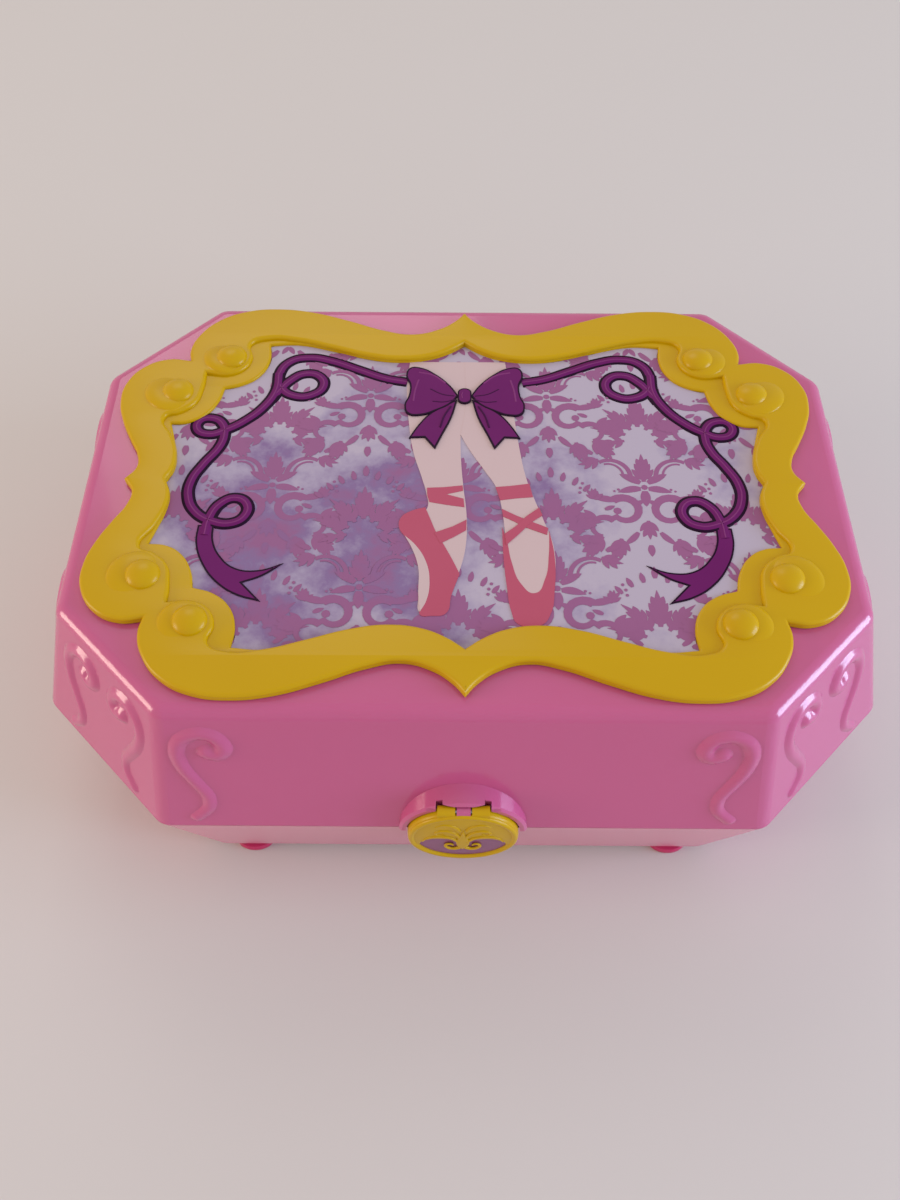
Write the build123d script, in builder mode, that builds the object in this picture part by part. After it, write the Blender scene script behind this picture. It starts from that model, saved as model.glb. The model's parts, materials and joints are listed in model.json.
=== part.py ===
from build123d import *
import math
import os

# Ballerina jewellery box, all sizes in millimetres, +Z up, z = 0 on the table.
# The front (clasp) faces -Y, the hinge is at +Y.  The box is drawn about its
# own centre; save() moves every piece by one shift so that the origin is the
# middle of the whole object's footprint.

# ---- box body ---------------------------------------------------------------
top_half_x = 90.0
top_half_y = 60.75
top_cut = 25.5
lid_top_z = 69.3
seam_z = 34.0
lid_flare = 10.45
lid_gap = 0.3
bottom_half_x = 92.8
bottom_half_y = 63.55
bottom_cut = 32.0
foot_height = 1.8
wall = 2.4
low_wall = 3.0
edge_round = 5.0
top_round = 3.4
bottom_round = 3.6
floor_top = foot_height + 2.4
foot_radius = 5.0
foot_x = 52.8
foot_y = 58.0

# ---- picture frame on the lid -----------------------------------------------
frame_height = 2.4
frame_round = 0.7
panel_height = 0.5
button_radius = 4.0

# ---- hinge ------------------------------------------------------------------
hinge_out = 3.7
knuckle_radius = 3.0
hinge_pin_radius = 1.2
hinge_x = 50.0
lid_knuckle = 9.0
base_knuckle = 6.0
knuckle_gap = 0.4
running_fit = 0.06
push_fit = 0.02

# ---- clasp ------------------------------------------------------------------
collar_radius = 14.6
collar_proud = 1.0
clasp_radius = 12.6
clasp_gap = 0.4
clasp_thick = 2.4
collar_round = 0.6
clasp_pin_radius = 0.6
lug_radius = 1.3
lid_lug_half = 1.5
clasp_lug = 3.9
lug_gap = 0.35
clasp_pin_z = seam_z + 12.0
pocket_deep = 0.5

# ---- movement ---------------------------------------------------------------
axis_y = 12.0
well_radius = 23.5
well_roof = 10.0
bed_bottom = 12.0
bed_top = 14.0
arbor_radius = 2.0
barrel_radius = 12.2
barrel_bottom = 15.1
barrel_top = 25.0
crown_root = 15.9
crown_tip = 17.0
crown_teeth = 36
crown_pitch_radius = 14.0
pinion_teeth = 12
pinion_pitch_radius = crown_pitch_radius * pinion_teeth / crown_teeth
train_z = 16.6 + pinion_pitch_radius
drum_radius = 5.4
pin_height = 0.7
comb_teeth = 18
governor_y = axis_y + 8.0
governor_radius = 5.5

# ---- tray and stage ---------------------------------------------------------
tray_bottom = 14.5
tray_floor = 16.0
tray_rim = 33.3
tray_gap = 0.35
deck_bottom = 28.0
deck_top = 30.0
deck_half_x = 52.0
deck_front = -16.0
divider = 1.5
turntable_radius = 15.0
turntable_bottom = 27.8
turntable_top = 29.8
stage_hole = turntable_radius + 0.5

# ---- screws and the pillars they stand in -----------------------------------
plate_screw_spots = ((45, -8), (45, 32), (-18, -8), (-18, 32))
plate_screw_radius = 1.1
plate_screw_length = 4.5
plate_head_radius = 2.2
plate_head_high = 1.1
plate_pillar_radius = 3.2
tray_screw_gap_x = 140
tray_screw_gap_y = 60
tray_screw_radius = 1.4
tray_pillar_radius = 4.0
comb_screw_radius = 1.0
mirror_screw_radius = 1.1
screw_clear = 0.05

# ---- mirror under the lid ---------------------------------------------------
mirror_half_x = 56.0
mirror_half_y = 34.0
mirror_thick = 1.2
mirror_corner = 6.0
mirror_rim = 6.0
mirror_lap = 3.0
mirror_frame_high = 2.6
mirror_fit = 0.05

# ---- cylinder, governor and comb --------------------------------------------
shaft_radius = 1.0
governor_shaft_radius = 0.8
bracket_thick = 1.3
wheel_thick = 1.5
cylinder_left = 18.2
cylinder_length = 17.2
comb_thick = 0.9
comb_y = -6.5
comb_tooth_wide = 0.6

# ---- dancer -----------------------------------------------------------------
skirt_z = 44.6
skirt_radius = 9.6
waist_radius = 3.05
head_radius = 2.6
bun_radius = 1.3
arm_radius = 0.85
spring_radius = 2.6
spring_wire = 0.42
spring_pitch = 2.0

# the whole object is centred between clasp face and hinge knuckles
centre_shift = -1.8

os.makedirs("parts", exist_ok=True)


def save(build, node):
    """Label one piece, move it to the shared frame and write its file."""
    piece = build.part.moved(Location((0, centre_shift, 0)))
    piece.label = node
    export_step(piece, f"parts/{node}.step")


def octagon(half_x, half_y, cut):
    """Corner points of a rectangle with four cut corners."""
    return [
        (half_x, -half_y + cut),
        (half_x, half_y - cut),
        (half_x - cut, half_y),
        (-half_x + cut, half_y),
        (-half_x, half_y - cut),
        (-half_x, -half_y + cut),
        (-half_x + cut, -half_y),
        (half_x - cut, -half_y),
    ]


def grown(half_x, half_y, cut, amount):
    """The same octagon with every side moved outward by amount."""
    bigger = cut + amount * cut_share
    return octagon(half_x + amount, half_y + amount, bigger)


def slanted(edge):
    """True for the edges that climb up a corner of the body."""
    return abs((edge @ 1 - edge @ 0).Z) > 5


def across(x, y, z):
    """Plane square to X: its own x is world Y, its own y is world Z."""
    return Plane(origin=(x, y, z), x_dir=(0, 1, 0), z_dir=(1, 0, 0))


def facing_front(x, y, z):
    """Plane looking at the front: its own x is world X, its own y is world Z."""
    return Plane(origin=(x, y, z), x_dir=(1, 0, 0), z_dir=(0, -1, 0))


def flat(x, y, z):
    """Level plane at one point."""
    return Plane(origin=(x, y, z))


def wheel_outline(teeth, root, tip, root_width, tip_width, turn=0.0):
    """Slender-toothed wheel drawn in the current sketch."""
    Circle(root)
    with PolarLocations(0, teeth, start_angle=turn):
        Polygon(
            (root - 0.4, -root_width / 2),
            (tip, -tip_width / 2),
            (tip, tip_width / 2),
            (root - 0.4, root_width / 2),
            align=None,
        )


def hollow_outline(height, amount):
    """Outline of the base's sloping hollow at one level, moved outward by amount."""
    share = (height - floor_top) / (base_top - floor_top)
    foot = (bottom_half_x - low_wall, bottom_half_y - low_wall, bottom_cut - low_wall * cut_share)
    rise = lid_flare - wall
    head = (top_half_x + rise, top_half_y + rise, top_cut + rise * cut_share)
    middle = [a + (b - a) * share for a, b in zip(foot, head)]
    return grown(*middle, amount)


cut_share = 2 - math.sqrt(2)
seam_half_y = top_half_y + lid_flare
hinge_y = seam_half_y + hinge_out
clasp_face = -seam_half_y - collar_proud
recess_floor = clasp_face + 1.2
clasp_back = recess_floor - clasp_gap
clasp_front = clasp_back - clasp_thick
clasp_pin_y = clasp_front + lug_radius + 0.1
lug_end = lid_lug_half + lug_gap + clasp_lug
lid_bottom = seam_z + lid_gap / 2
base_top = seam_z - lid_gap / 2


# ============================================================ base of the box
with BuildPart() as base_shell:
    with BuildSketch(Plane.XY.offset(foot_height)):
        Polygon(*octagon(bottom_half_x, bottom_half_y, bottom_cut), align=None)
    with BuildSketch(Plane.XY.offset(base_top)):
        Polygon(*grown(top_half_x, top_half_y, top_cut, lid_flare), align=None)
    loft(ruled=True)
    fillet(base_shell.edges().filter_by(slanted), edge_round)
    fillet(base_shell.faces().sort_by(Axis.Z)[0].edges(), bottom_round)
    # hollow for the tray and the movement
    with BuildSketch(Plane.XY.offset(floor_top)):
        Polygon(*hollow_outline(floor_top, 0), align=None)
    with BuildSketch(Plane.XY.offset(base_top)):
        Polygon(*hollow_outline(base_top, 0), align=None)
    loft(ruled=True, mode=Mode.SUBTRACT)
    # round block over the key well
    with BuildSketch(Plane.XY.offset(floor_top)):
        with Locations((0, axis_y)):
            Circle(well_radius + 2.5)
    extrude(amount=bed_bottom - floor_top)
    with BuildSketch(Plane.XY.offset(foot_height - 0.1)):
        with Locations((0, axis_y)):
            Circle(well_radius)
    extrude(amount=well_roof - foot_height + 0.1, mode=Mode.SUBTRACT)
    # pillars under the bedplate and under the tray
    with BuildSketch(Plane.XY.offset(floor_top)):
        with Locations(*plate_screw_spots):
            Circle(plate_pillar_radius)
    extrude(amount=bed_bottom - floor_top)
    with BuildSketch(Plane.XY.offset(floor_top)):
        with GridLocations(tray_screw_gap_x, tray_screw_gap_y, 2, 2):
            Circle(tray_pillar_radius)
    extrude(amount=tray_bottom - floor_top)
    # hinge knuckles of the base
    for side in (-1, 1):
        for end in (-1, 1):
            middle = side * hinge_x + end * (lid_knuckle / 2 + knuckle_gap + base_knuckle / 2)
            with BuildSketch(across(middle - base_knuckle / 2, hinge_y, seam_z)):
                Circle(knuckle_radius)
                with Locations((-3.0, -3.2)):
                    Rectangle(6.0, 5.6)
            extrude(amount=base_knuckle)
    with BuildSketch(across(-hinge_x - 15, hinge_y, seam_z)):
        Circle(hinge_pin_radius + push_fit)
    extrude(amount=2 * hinge_x + 30, mode=Mode.SUBTRACT)
    # hole for the winding arbor, holes for the plate and tray screws
    with BuildSketch(Plane.XY.offset(well_roof - 0.5)):
        with Locations((0, axis_y)):
            Circle(arbor_radius + 0.4)
    extrude(amount=3, mode=Mode.SUBTRACT)
    with BuildSketch(Plane.XY.offset(bed_bottom - 5)):
        with Locations(*plate_screw_spots):
            Circle(plate_screw_radius + push_fit)
    extrude(amount=6, mode=Mode.SUBTRACT)
    with BuildSketch(Plane.XY.offset(tray_bottom - 6)):
        with GridLocations(tray_screw_gap_x, tray_screw_gap_y, 2, 2):
            Circle(tray_screw_radius + push_fit)
    extrude(amount=7, mode=Mode.SUBTRACT)
save(base_shell, "base_shell")

# four round pads the box stands on
with BuildPart() as base_feet:
    with BuildSketch():
        with GridLocations(2 * foot_x, 2 * foot_y, 2, 2):
            Circle(foot_radius)
    extrude(amount=foot_height)
    chamfer(base_feet.faces().sort_by(Axis.Z)[:4].edges(), 0.5)
save(base_feet, "base_feet")

# two steel pins through the hinge knuckles
pin_length = lid_knuckle + 2 * (knuckle_gap + base_knuckle)
with BuildPart() as hinge_pin:
    for side in (-1, 1):
        with BuildSketch(across(side * hinge_x - pin_length / 2, hinge_y, seam_z)):
            Circle(hinge_pin_radius)
        extrude(amount=pin_length)
save(hinge_pin, "hinge_pin")

# ========================================================================= lid
with BuildPart() as lid_shell:
    with BuildSketch(Plane.XY.offset(lid_bottom)):
        Polygon(*grown(top_half_x, top_half_y, top_cut, lid_flare), align=None)
    with BuildSketch(Plane.XY.offset(lid_top_z)):
        Polygon(*octagon(top_half_x, top_half_y, top_cut), align=None)
    loft(ruled=True)
    fillet(lid_shell.edges().filter_by(slanted), edge_round)
    fillet(lid_shell.faces().sort_by(Axis.Z)[-1].edges(), top_round)
    # flat underside
    with BuildSketch(Plane.XY.offset(lid_bottom - 8)):
        Rectangle(300, 250)
    extrude(amount=8, mode=Mode.SUBTRACT)
    # upper half of the round clasp seat, with room for the clasp lugs
    with BuildSketch(facing_front(0, -seam_half_y + 8.0, seam_z)):
        Circle(collar_radius)
        with Locations((0, -2 * collar_radius + lid_gap / 2)):
            Rectangle(4 * collar_radius, 4 * collar_radius, mode=Mode.SUBTRACT)
    extrude(amount=8.0 + collar_proud - collar_round)
    with BuildSketch(facing_front(0, clasp_face + collar_round, seam_z)):
        Circle(collar_radius)
        with Locations((0, -2 * collar_radius + lid_gap / 2)):
            Rectangle(4 * collar_radius, 4 * collar_radius, mode=Mode.SUBTRACT)
    with BuildSketch(facing_front(0, clasp_face, seam_z)):
        Circle(collar_radius - collar_round)
        with Locations((0, -2 * collar_radius + lid_gap / 2)):
            Rectangle(4 * collar_radius, 4 * collar_radius, mode=Mode.SUBTRACT)
    loft()
    with BuildSketch(facing_front(0, clasp_face - 0.1, seam_z)):
        Circle(clasp_radius + clasp_gap)
    extrude(amount=-1.3, mode=Mode.SUBTRACT)
    with BuildSketch(facing_front(0, clasp_face - 0.1, clasp_pin_z)):
        with Locations((0, 0.2)):
            Rectangle(2 * (lug_end + lug_gap), 2 * (lug_radius + lug_gap))
    extrude(amount=-1.3 - pocket_deep, mode=Mode.SUBTRACT)
    # hollow
    with BuildSketch(Plane.XY.offset(lid_bottom - 0.01)):
        Polygon(*grown(top_half_x, top_half_y, top_cut, lid_flare - wall), align=None)
    with BuildSketch(Plane.XY.offset(lid_top_z - wall + 0.2)):
        Polygon(*grown(top_half_x, top_half_y, top_cut, -wall), align=None)
    loft(ruled=True, mode=Mode.SUBTRACT)
    # lug of the lid between the two lugs of the clasp
    with BuildSketch(across(-lid_lug_half, clasp_pin_y, clasp_pin_z)):
        Circle(lug_radius)
        with Locations((1.6, 0)):
            Rectangle(3.2, 2 * lug_radius)
    extrude(amount=2 * lid_lug_half)
    with BuildSketch(across(-10, clasp_pin_y, clasp_pin_z)):
        Circle(clasp_pin_radius + push_fit)
    extrude(amount=20, mode=Mode.SUBTRACT)
    # hinge knuckles of the lid
    for side in (-1, 1):
        with BuildSketch(across(side * hinge_x - lid_knuckle / 2, hinge_y, seam_z)):
            Circle(knuckle_radius)
            with Locations((-3.0, 3.2)):
                Rectangle(6.0, 5.6)
        extrude(amount=lid_knuckle)
    with BuildSketch(across(-hinge_x - 15, hinge_y, seam_z)):
        Circle(hinge_pin_radius + running_fit)
    extrude(amount=2 * hinge_x + 30, mode=Mode.SUBTRACT)
    # rib that presses the stop slide down when the lid is shut
    with BuildSketch(flat(43, 61.5, 34.6)):
        Rectangle(3, 11)
    extrude(amount=9)
save(lid_shell, "lid_shell")

# scroll frame: one quarter of its outline, tip to tip, front then side
outer_front = [(0, -57), (5.5, -51.6), (13.5, -49.0), (30, -53.8), (49, -58.1),
               (62, -55.4), (69.4, -48.4), (70.0, -38.9)]
outer_side = [(70.0, -38.9), (77.5, -38.7), (84.2, -33.2), (85.4, -24.5), (81.2, -12.5),
              (78.0, -4.5), (80.3, 0)]
inner_front = [(0, -46), (5.5, -42.6), (16.5, -40.0), (32, -43.2), (44, -46.1), (50.3, -45.4)]
lobe_front = [(50.3, -45.4), (50.0, -38.6), (54.6, -32.4), (60.3, -30.2)]
lobe_side = [(60.3, -30.2), (63.2, -22.6), (67.4, -18.9), (72.0, -18.3)]
inner_side = [(72.0, -18.3), (69.8, -10.5), (69.1, -4.5), (70.6, 0)]


def quarter(points, flip_x, flip_y):
    """Mirror one run of outline points into another quarter."""
    return [(flip_x * x, flip_y * y) for x, y in points]


def draw_loop(runs):
    """Closed outline from one quarter's runs, repeated round all four."""
    for flip_x in (1, -1):
        for flip_y in (1, -1):
            for run in runs:
                Spline(*quarter(run, flip_x, flip_y))


with BuildPart() as picture_panel:
    with BuildSketch(Plane.XY.offset(lid_top_z)):
        with BuildLine():
            draw_loop([inner_front, lobe_front, lobe_side, inner_side])
        make_face()
    extrude(amount=panel_height)
save(picture_panel, "picture_panel")

with BuildPart() as scroll_frame:
    with BuildSketch(Plane.XY.offset(lid_top_z)):
        with BuildLine():
            draw_loop([outer_front, outer_side])
        make_face()
        with BuildLine():
            draw_loop([inner_front, lobe_front, lobe_side, inner_side])
        make_face(mode=Mode.SUBTRACT)
    extrude(amount=frame_height)
    chamfer(scroll_frame.faces().sort_by(Axis.Z)[-1].edges(), frame_round)
    # raised curls and domed buttons at the corners
    for flip_x in (1, -1):
        for flip_y in (1, -1):
            for x, y, size in ((60.2, 40.6, 6.8), (73.6, 27.2, 7.2)):
                with BuildSketch(flat(flip_x * x, flip_y * y, lid_top_z + frame_height - 0.4)):
                    Circle(size)
                extrude(amount=1.2, taper=20)
                with BuildSketch(flat(flip_x * x, flip_y * y, lid_top_z + frame_height)):
                    Circle(button_radius)
                extrude(amount=2.4, taper=25)
save(scroll_frame, "scroll_frame")

# mirror under the lid, its frame and the screws that hold it
ceiling = lid_top_z - wall + 0.2
with BuildPart() as mirror:
    with BuildSketch(Plane.XY.offset(ceiling - mirror_thick)):
        RectangleRounded(2 * mirror_half_x, 2 * mirror_half_y, mirror_corner)
    extrude(amount=mirror_thick)
save(mirror, "mirror")

frame_half_x = mirror_half_x + mirror_rim
frame_half_y = mirror_half_y + mirror_rim
sight_half_x = mirror_half_x - mirror_lap
sight_half_y = mirror_half_y - mirror_lap
screw_gap_x = 2 * mirror_half_x + 4
screw_gap_y = 2 * mirror_half_y + 4
with BuildPart() as mirror_frame:
    with BuildSketch(Plane.XY.offset(ceiling - mirror_frame_high)):
        RectangleRounded(2 * frame_half_x, 2 * frame_half_y, 9)
        RectangleRounded(2 * sight_half_x, 2 * sight_half_y, 4, mode=Mode.SUBTRACT)
    extrude(amount=mirror_frame_high)
    with BuildSketch(Plane.XY.offset(ceiling - mirror_thick)):
        RectangleRounded(2 * (mirror_half_x + mirror_fit), 2 * (mirror_half_y + mirror_fit),
                         mirror_corner + mirror_fit)
    extrude(amount=mirror_thick, mode=Mode.SUBTRACT)
    with BuildSketch(Plane.XY.offset(ceiling - mirror_frame_high - 0.1)):
        with GridLocations(screw_gap_x, screw_gap_y, 2, 2):
            Circle(mirror_screw_radius + screw_clear)
    extrude(amount=mirror_frame_high + 0.4, mode=Mode.SUBTRACT)
save(mirror_frame, "mirror_frame")

with BuildPart() as mirror_screws:
    with BuildSketch(Plane.XY.offset(ceiling - mirror_frame_high)):
        with GridLocations(screw_gap_x, screw_gap_y, 2, 2):
            Circle(mirror_screw_radius)
    extrude(amount=mirror_frame_high)
    with BuildSketch(Plane.XY.offset(ceiling - mirror_frame_high)):
        with GridLocations(screw_gap_x, screw_gap_y, 2, 2):
            Circle(2 * mirror_screw_radius)
    extrude(amount=-0.9)
save(mirror_screws, "mirror_screws")

# ======================================================================= clasp
with BuildPart() as clasp_medallion:
    with BuildSketch(facing_front(0, clasp_back, seam_z)):
        Circle(clasp_radius)
    extrude(amount=clasp_thick)
    fillet(clasp_medallion.faces().sort_by(Axis.Y)[0].edges(), 1.0)
    # shallow bed inside the rim
    with BuildSketch(facing_front(0, clasp_front - 0.1, seam_z)):
        Circle(clasp_radius - 1.8)
    extrude(amount=-0.5, mode=Mode.SUBTRACT)
    # two lugs on the pin, with room for the lug of the lid between them
    with BuildSketch(across(-lug_end, clasp_pin_y, clasp_pin_z)):
        Circle(lug_radius)
        with Locations((0, -1.0)):
            Rectangle(2 * lug_radius, 2.0)
    extrude(amount=2 * lug_end)
    with BuildSketch(facing_front(0, clasp_back + 1, clasp_pin_z)):
        Rectangle(2 * (lid_lug_half + lug_gap), 2 * (lug_radius + lug_gap))
    extrude(amount=clasp_thick + 2, mode=Mode.SUBTRACT)
    with BuildSketch(across(-10, clasp_pin_y, clasp_pin_z)):
        Circle(clasp_pin_radius + running_fit)
    extrude(amount=20, mode=Mode.SUBTRACT)
    # snap nub on the back
    with BuildSketch(facing_front(0, clasp_back, seam_z - 8.4)):
        Rectangle(3.6, 1.6)
    extrude(amount=-0.9)
save(clasp_medallion, "clasp_medallion")

with BuildPart() as clasp_inlay:
    with BuildSketch(facing_front(0, clasp_front + 0.4, seam_z)):
        with Locations((-4.7, -3.9), (4.7, -3.9)):
            Circle(4.3)
        with BuildLine():
            ThreePointArc((-8.9, -4.6), (0, -10.3), (8.9, -4.6))
            Line((8.9, -4.6), (-8.9, -4.6))
        make_face()
    extrude(amount=0.5)
save(clasp_inlay, "clasp_inlay")

with BuildPart() as clasp_pin:
    with BuildSketch(across(-lug_end, clasp_pin_y, clasp_pin_z)):
        Circle(clasp_pin_radius)
    extrude(amount=2 * lug_end)
save(clasp_pin, "clasp_pin")

# ================================================================ wind-up part
with BuildPart() as winding_key:
    with BuildSketch(flat(0, axis_y, 2.4)):
        Circle(4.2)
    extrude(amount=6.8)
    with BuildSketch(flat(0, axis_y, 2.4)):
        with Locations((9.0, 0), (-9.0, 0)):
            Ellipse(5.6, 1.2)
        Rectangle(12, 2.2)
    extrude(amount=5.4)
    with BuildSketch(Plane(origin=(0, axis_y + 3, 5.1), x_dir=(1, 0, 0), z_dir=(0, -1, 0))):
        with Locations((9.5, 0), (-9.5, 0)):
            Circle(1.5)
    extrude(amount=6, mode=Mode.SUBTRACT)
    with BuildSketch(flat(0, axis_y, 5.0)):
        Circle(arbor_radius + push_fit)
    extrude(amount=5, mode=Mode.SUBTRACT)
save(winding_key, "winding_key")

with BuildPart() as winding_arbor:
    with BuildSketch(flat(0, axis_y, 5.0)):
        Circle(arbor_radius)
    extrude(amount=20.6)
save(winding_arbor, "winding_arbor")

with BuildPart() as ratchet_wheel:
    with BuildSketch(flat(0, axis_y, bed_top + 0.2)):
        Circle(6.0)
        with PolarLocations(0, 20):
            Polygon((5.6, -0.9), (6.9, 0.2), (5.6, 0.9), align=None)
        Circle(arbor_radius + push_fit, mode=Mode.SUBTRACT)
    extrude(amount=0.6)
save(ratchet_wheel, "ratchet_wheel")

with BuildPart() as bedplate:
    with BuildSketch(Plane.XY.offset(bed_bottom)):
        with Locations((14, axis_y)):
            RectangleRounded(72, 48, 5)
        with Locations((0, axis_y)):
            Circle(arbor_radius + running_fit, mode=Mode.SUBTRACT)
        with Locations(*plate_screw_spots):
            Circle(plate_screw_radius + screw_clear, mode=Mode.SUBTRACT)
    extrude(amount=bed_top - bed_bottom)
save(bedplate, "bedplate")

with BuildPart() as bedplate_screws:
    with BuildSketch(Plane.XY.offset(bed_bottom - plate_screw_length)):
        with Locations(*plate_screw_spots):
            Circle(plate_screw_radius)
    extrude(amount=bed_top - bed_bottom + plate_screw_length)
    with BuildSketch(Plane.XY.offset(bed_top)):
        with Locations(*plate_screw_spots):
            Circle(plate_head_radius)
    extrude(amount=plate_head_high)
save(bedplate_screws, "bedplate_screws")

with BuildPart() as click_spring:
    with BuildSketch(flat(0, 0, bed_top)):
        with Locations((-16, 1.6)):
            Circle(2.4)
    extrude(amount=1.0)
    with BuildSketch(flat(0, axis_y, bed_top + 0.2)):
        Polygon((-17, -11.2), (-7.5, -1.4), (-7.2, -1.9), (-16, -11.8), align=None)
    extrude(amount=0.6)
save(click_spring, "click_spring")

with BuildPart() as spring_barrel:
    with BuildSketch(flat(0, axis_y, barrel_bottom)):
        Circle(crown_pitch_radius + 1.7)
    extrude(amount=crown_root - barrel_bottom)
    with BuildSketch(flat(0, axis_y, barrel_bottom)):
        Circle(barrel_radius)
    extrude(amount=barrel_top - barrel_bottom)
    with BuildSketch(flat(0, axis_y, crown_root)):
        with PolarLocations(0, crown_teeth, start_angle=180 / crown_teeth):
            with Locations((crown_pitch_radius, 0)):
                Rectangle(2.2, 0.62)
    extrude(amount=crown_tip - crown_root)
    with BuildSketch(flat(0, axis_y, barrel_bottom + 0.9)):
        Circle(barrel_radius - 1.0)
    extrude(amount=barrel_top, mode=Mode.SUBTRACT)
    with BuildSketch(flat(0, axis_y, barrel_bottom - 0.1)):
        Circle(arbor_radius + running_fit)
    extrude(amount=2, mode=Mode.SUBTRACT)
save(spring_barrel, "spring_barrel")

with BuildPart() as barrel_cover:
    with BuildSketch(flat(0, axis_y, barrel_top)):
        Circle(barrel_radius)
    extrude(amount=1.0)
    with BuildSketch(flat(0, axis_y, barrel_top + 1.0)):
        Circle(5.0)
    extrude(amount=turntable_bottom - barrel_top - 1.0)
    with BuildSketch(flat(0, axis_y, barrel_top - 0.1)):
        Circle(arbor_radius + running_fit)
    extrude(amount=1.0, mode=Mode.SUBTRACT)
save(barrel_cover, "barrel_cover")

with BuildPart() as mainspring:
    coil = []
    for step in range(0, 61):
        turn = step / 60
        radius = 3.0 + 7.4 * turn
        angle = math.radians(turn * 360 * 5)
        coil.append((radius * math.cos(angle), axis_y + radius * math.sin(angle)))
    with BuildSketch(Plane.XY.offset(barrel_bottom + 1.2)):
        with BuildLine() as coil_line:
            Spline(*coil)
        trace(line_width=0.35)
    extrude(amount=8.2)
save(mainspring, "mainspring")

with BuildPart() as turntable_disc:
    with BuildSketch(flat(0, axis_y, turntable_bottom)):
        Circle(turntable_radius)
    extrude(amount=turntable_top - turntable_bottom)
    chamfer(turntable_disc.faces().sort_by(Axis.Z)[-1].edges(), 0.4)
save(turntable_disc, "turntable_disc")

# dancer on her coil spring
spring_top = turntable_top + 6.6
with BuildPart() as dancer_spring:
    with BuildLine() as spring_path:
        Helix(pitch=spring_pitch, height=5.6, radius=spring_radius,
              center=(0, axis_y, turntable_top + 0.45))
    with BuildSketch(Plane(origin=spring_path.line @ 0, z_dir=spring_path.line % 0)):
        Circle(spring_wire)
    sweep(path=spring_path.line, is_frenet=True)
save(dancer_spring, "dancer_spring")

with BuildPart() as dancer_figure:
    with BuildSketch(Plane(origin=(0, axis_y, 0), x_dir=(1, 0, 0), z_dir=(0, -1, 0))):
        with BuildLine():
            Polyline(
                (0, turntable_top), (1.6, turntable_top), (1.6, spring_top), (3.4, spring_top),
                (3.2, spring_top + 0.9), (0.9, spring_top + 1.6), (1.5, 41.0), (2.0, 44.0),
                (3.0, 45.6), (2.3, 47.6), (3.1, 50.2), (1.2, 51.4), (1.0, 52.4), (0, 52.4),
                close=True,
            )
        make_face()
    revolve(axis=Axis((0, axis_y, 0), (0, 0, 1)))
    with Locations((0, axis_y, 54.6)):
        Sphere(head_radius)
    with Locations((0, axis_y + 0.9, 57.2)):
        Sphere(bun_radius)
    for hand in (-1, 1):
        with BuildLine() as arm:
            Spline(
                (hand * 2.4, axis_y, 50.2), (hand * 6.2, axis_y - 0.8, 52.6),
                (hand * 5.6, axis_y - 1.0, 58.6), (hand * 1.4, axis_y - 1.2, 61.4),
            )
        with BuildSketch(Plane(origin=arm.line @ 0, z_dir=arm.line % 0)):
            Circle(arm_radius)
        sweep(path=arm.line)
save(dancer_figure, "dancer_figure")

with BuildPart() as dancer_tutu:
    with BuildSketch(Plane(origin=(0, axis_y, 0), x_dir=(1, 0, 0), z_dir=(0, -1, 0))):
        with BuildLine():
            Polyline(
                (waist_radius, skirt_z + 1.6), (waist_radius, skirt_z + 0.2),
                (skirt_radius - 0.6, skirt_z - 1.6), (skirt_radius, skirt_z - 0.9),
                (4.2, skirt_z + 1.7), close=True,
            )
        make_face()
    revolve(axis=Axis((0, axis_y, 0), (0, 0, 1)))
save(dancer_tutu, "dancer_tutu")

# ============================================================= cylinder and comb
with BuildPart() as music_cylinder:
    with BuildSketch(across(cylinder_left, axis_y, train_z)):
        Circle(drum_radius)
        Circle(shaft_radius + push_fit, mode=Mode.SUBTRACT)
    extrude(amount=cylinder_length)
    for row in range(comb_teeth):
        row_x = cylinder_left + 0.7 + row * (cylinder_length - 1.4) / (comb_teeth - 1)
        with BuildSketch(across(row_x - 0.15, axis_y, train_z)):
            with PolarLocations(drum_radius + pin_height / 2 - 0.1, 3, start_angle=row * 47 + 20):
                Rectangle(pin_height + 0.2, 0.3)
        extrude(amount=0.3)
save(music_cylinder, "music_cylinder")

with BuildPart() as cylinder_shaft:
    with BuildSketch(across(12.7, axis_y, train_z)):
        Circle(shaft_radius)
    extrude(amount=27.4)
save(cylinder_shaft, "cylinder_shaft")

with BuildPart() as cylinder_pinion:
    with BuildSketch(across(13.0, axis_y, train_z)):
        wheel_outline(pinion_teeth, pinion_pitch_radius - 0.75, pinion_pitch_radius + 0.4, 0.8, 0.45, 30)
        Circle(shaft_radius + push_fit, mode=Mode.SUBTRACT)
    extrude(amount=2.0)
save(cylinder_pinion, "cylinder_pinion")

with BuildPart() as cylinder_wheel:
    with BuildSketch(across(38.0, axis_y, train_z)):
        wheel_outline(24, 5.3, 6.3, 0.6, 0.35)
        Circle(shaft_radius + push_fit, mode=Mode.SUBTRACT)
    extrude(amount=wheel_thick)
save(cylinder_wheel, "cylinder_wheel")

with BuildPart() as bracket_left:
    with BuildSketch(across(16.3, axis_y, bed_top)):
        with Locations((0, (train_z + 2.6 - bed_top) / 2)):
            Rectangle(5.2, train_z + 2.6 - bed_top)
        with Locations((0, train_z - bed_top)):
            Circle(shaft_radius + running_fit, mode=Mode.SUBTRACT)
    extrude(amount=bracket_thick)
    with BuildSketch(flat(17.6, axis_y, bed_top)):
        with Locations((-bracket_thick / 2, 0)):
            Rectangle(bracket_thick, 12)
    extrude(amount=1.0)
save(bracket_left, "bracket_left")

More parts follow.
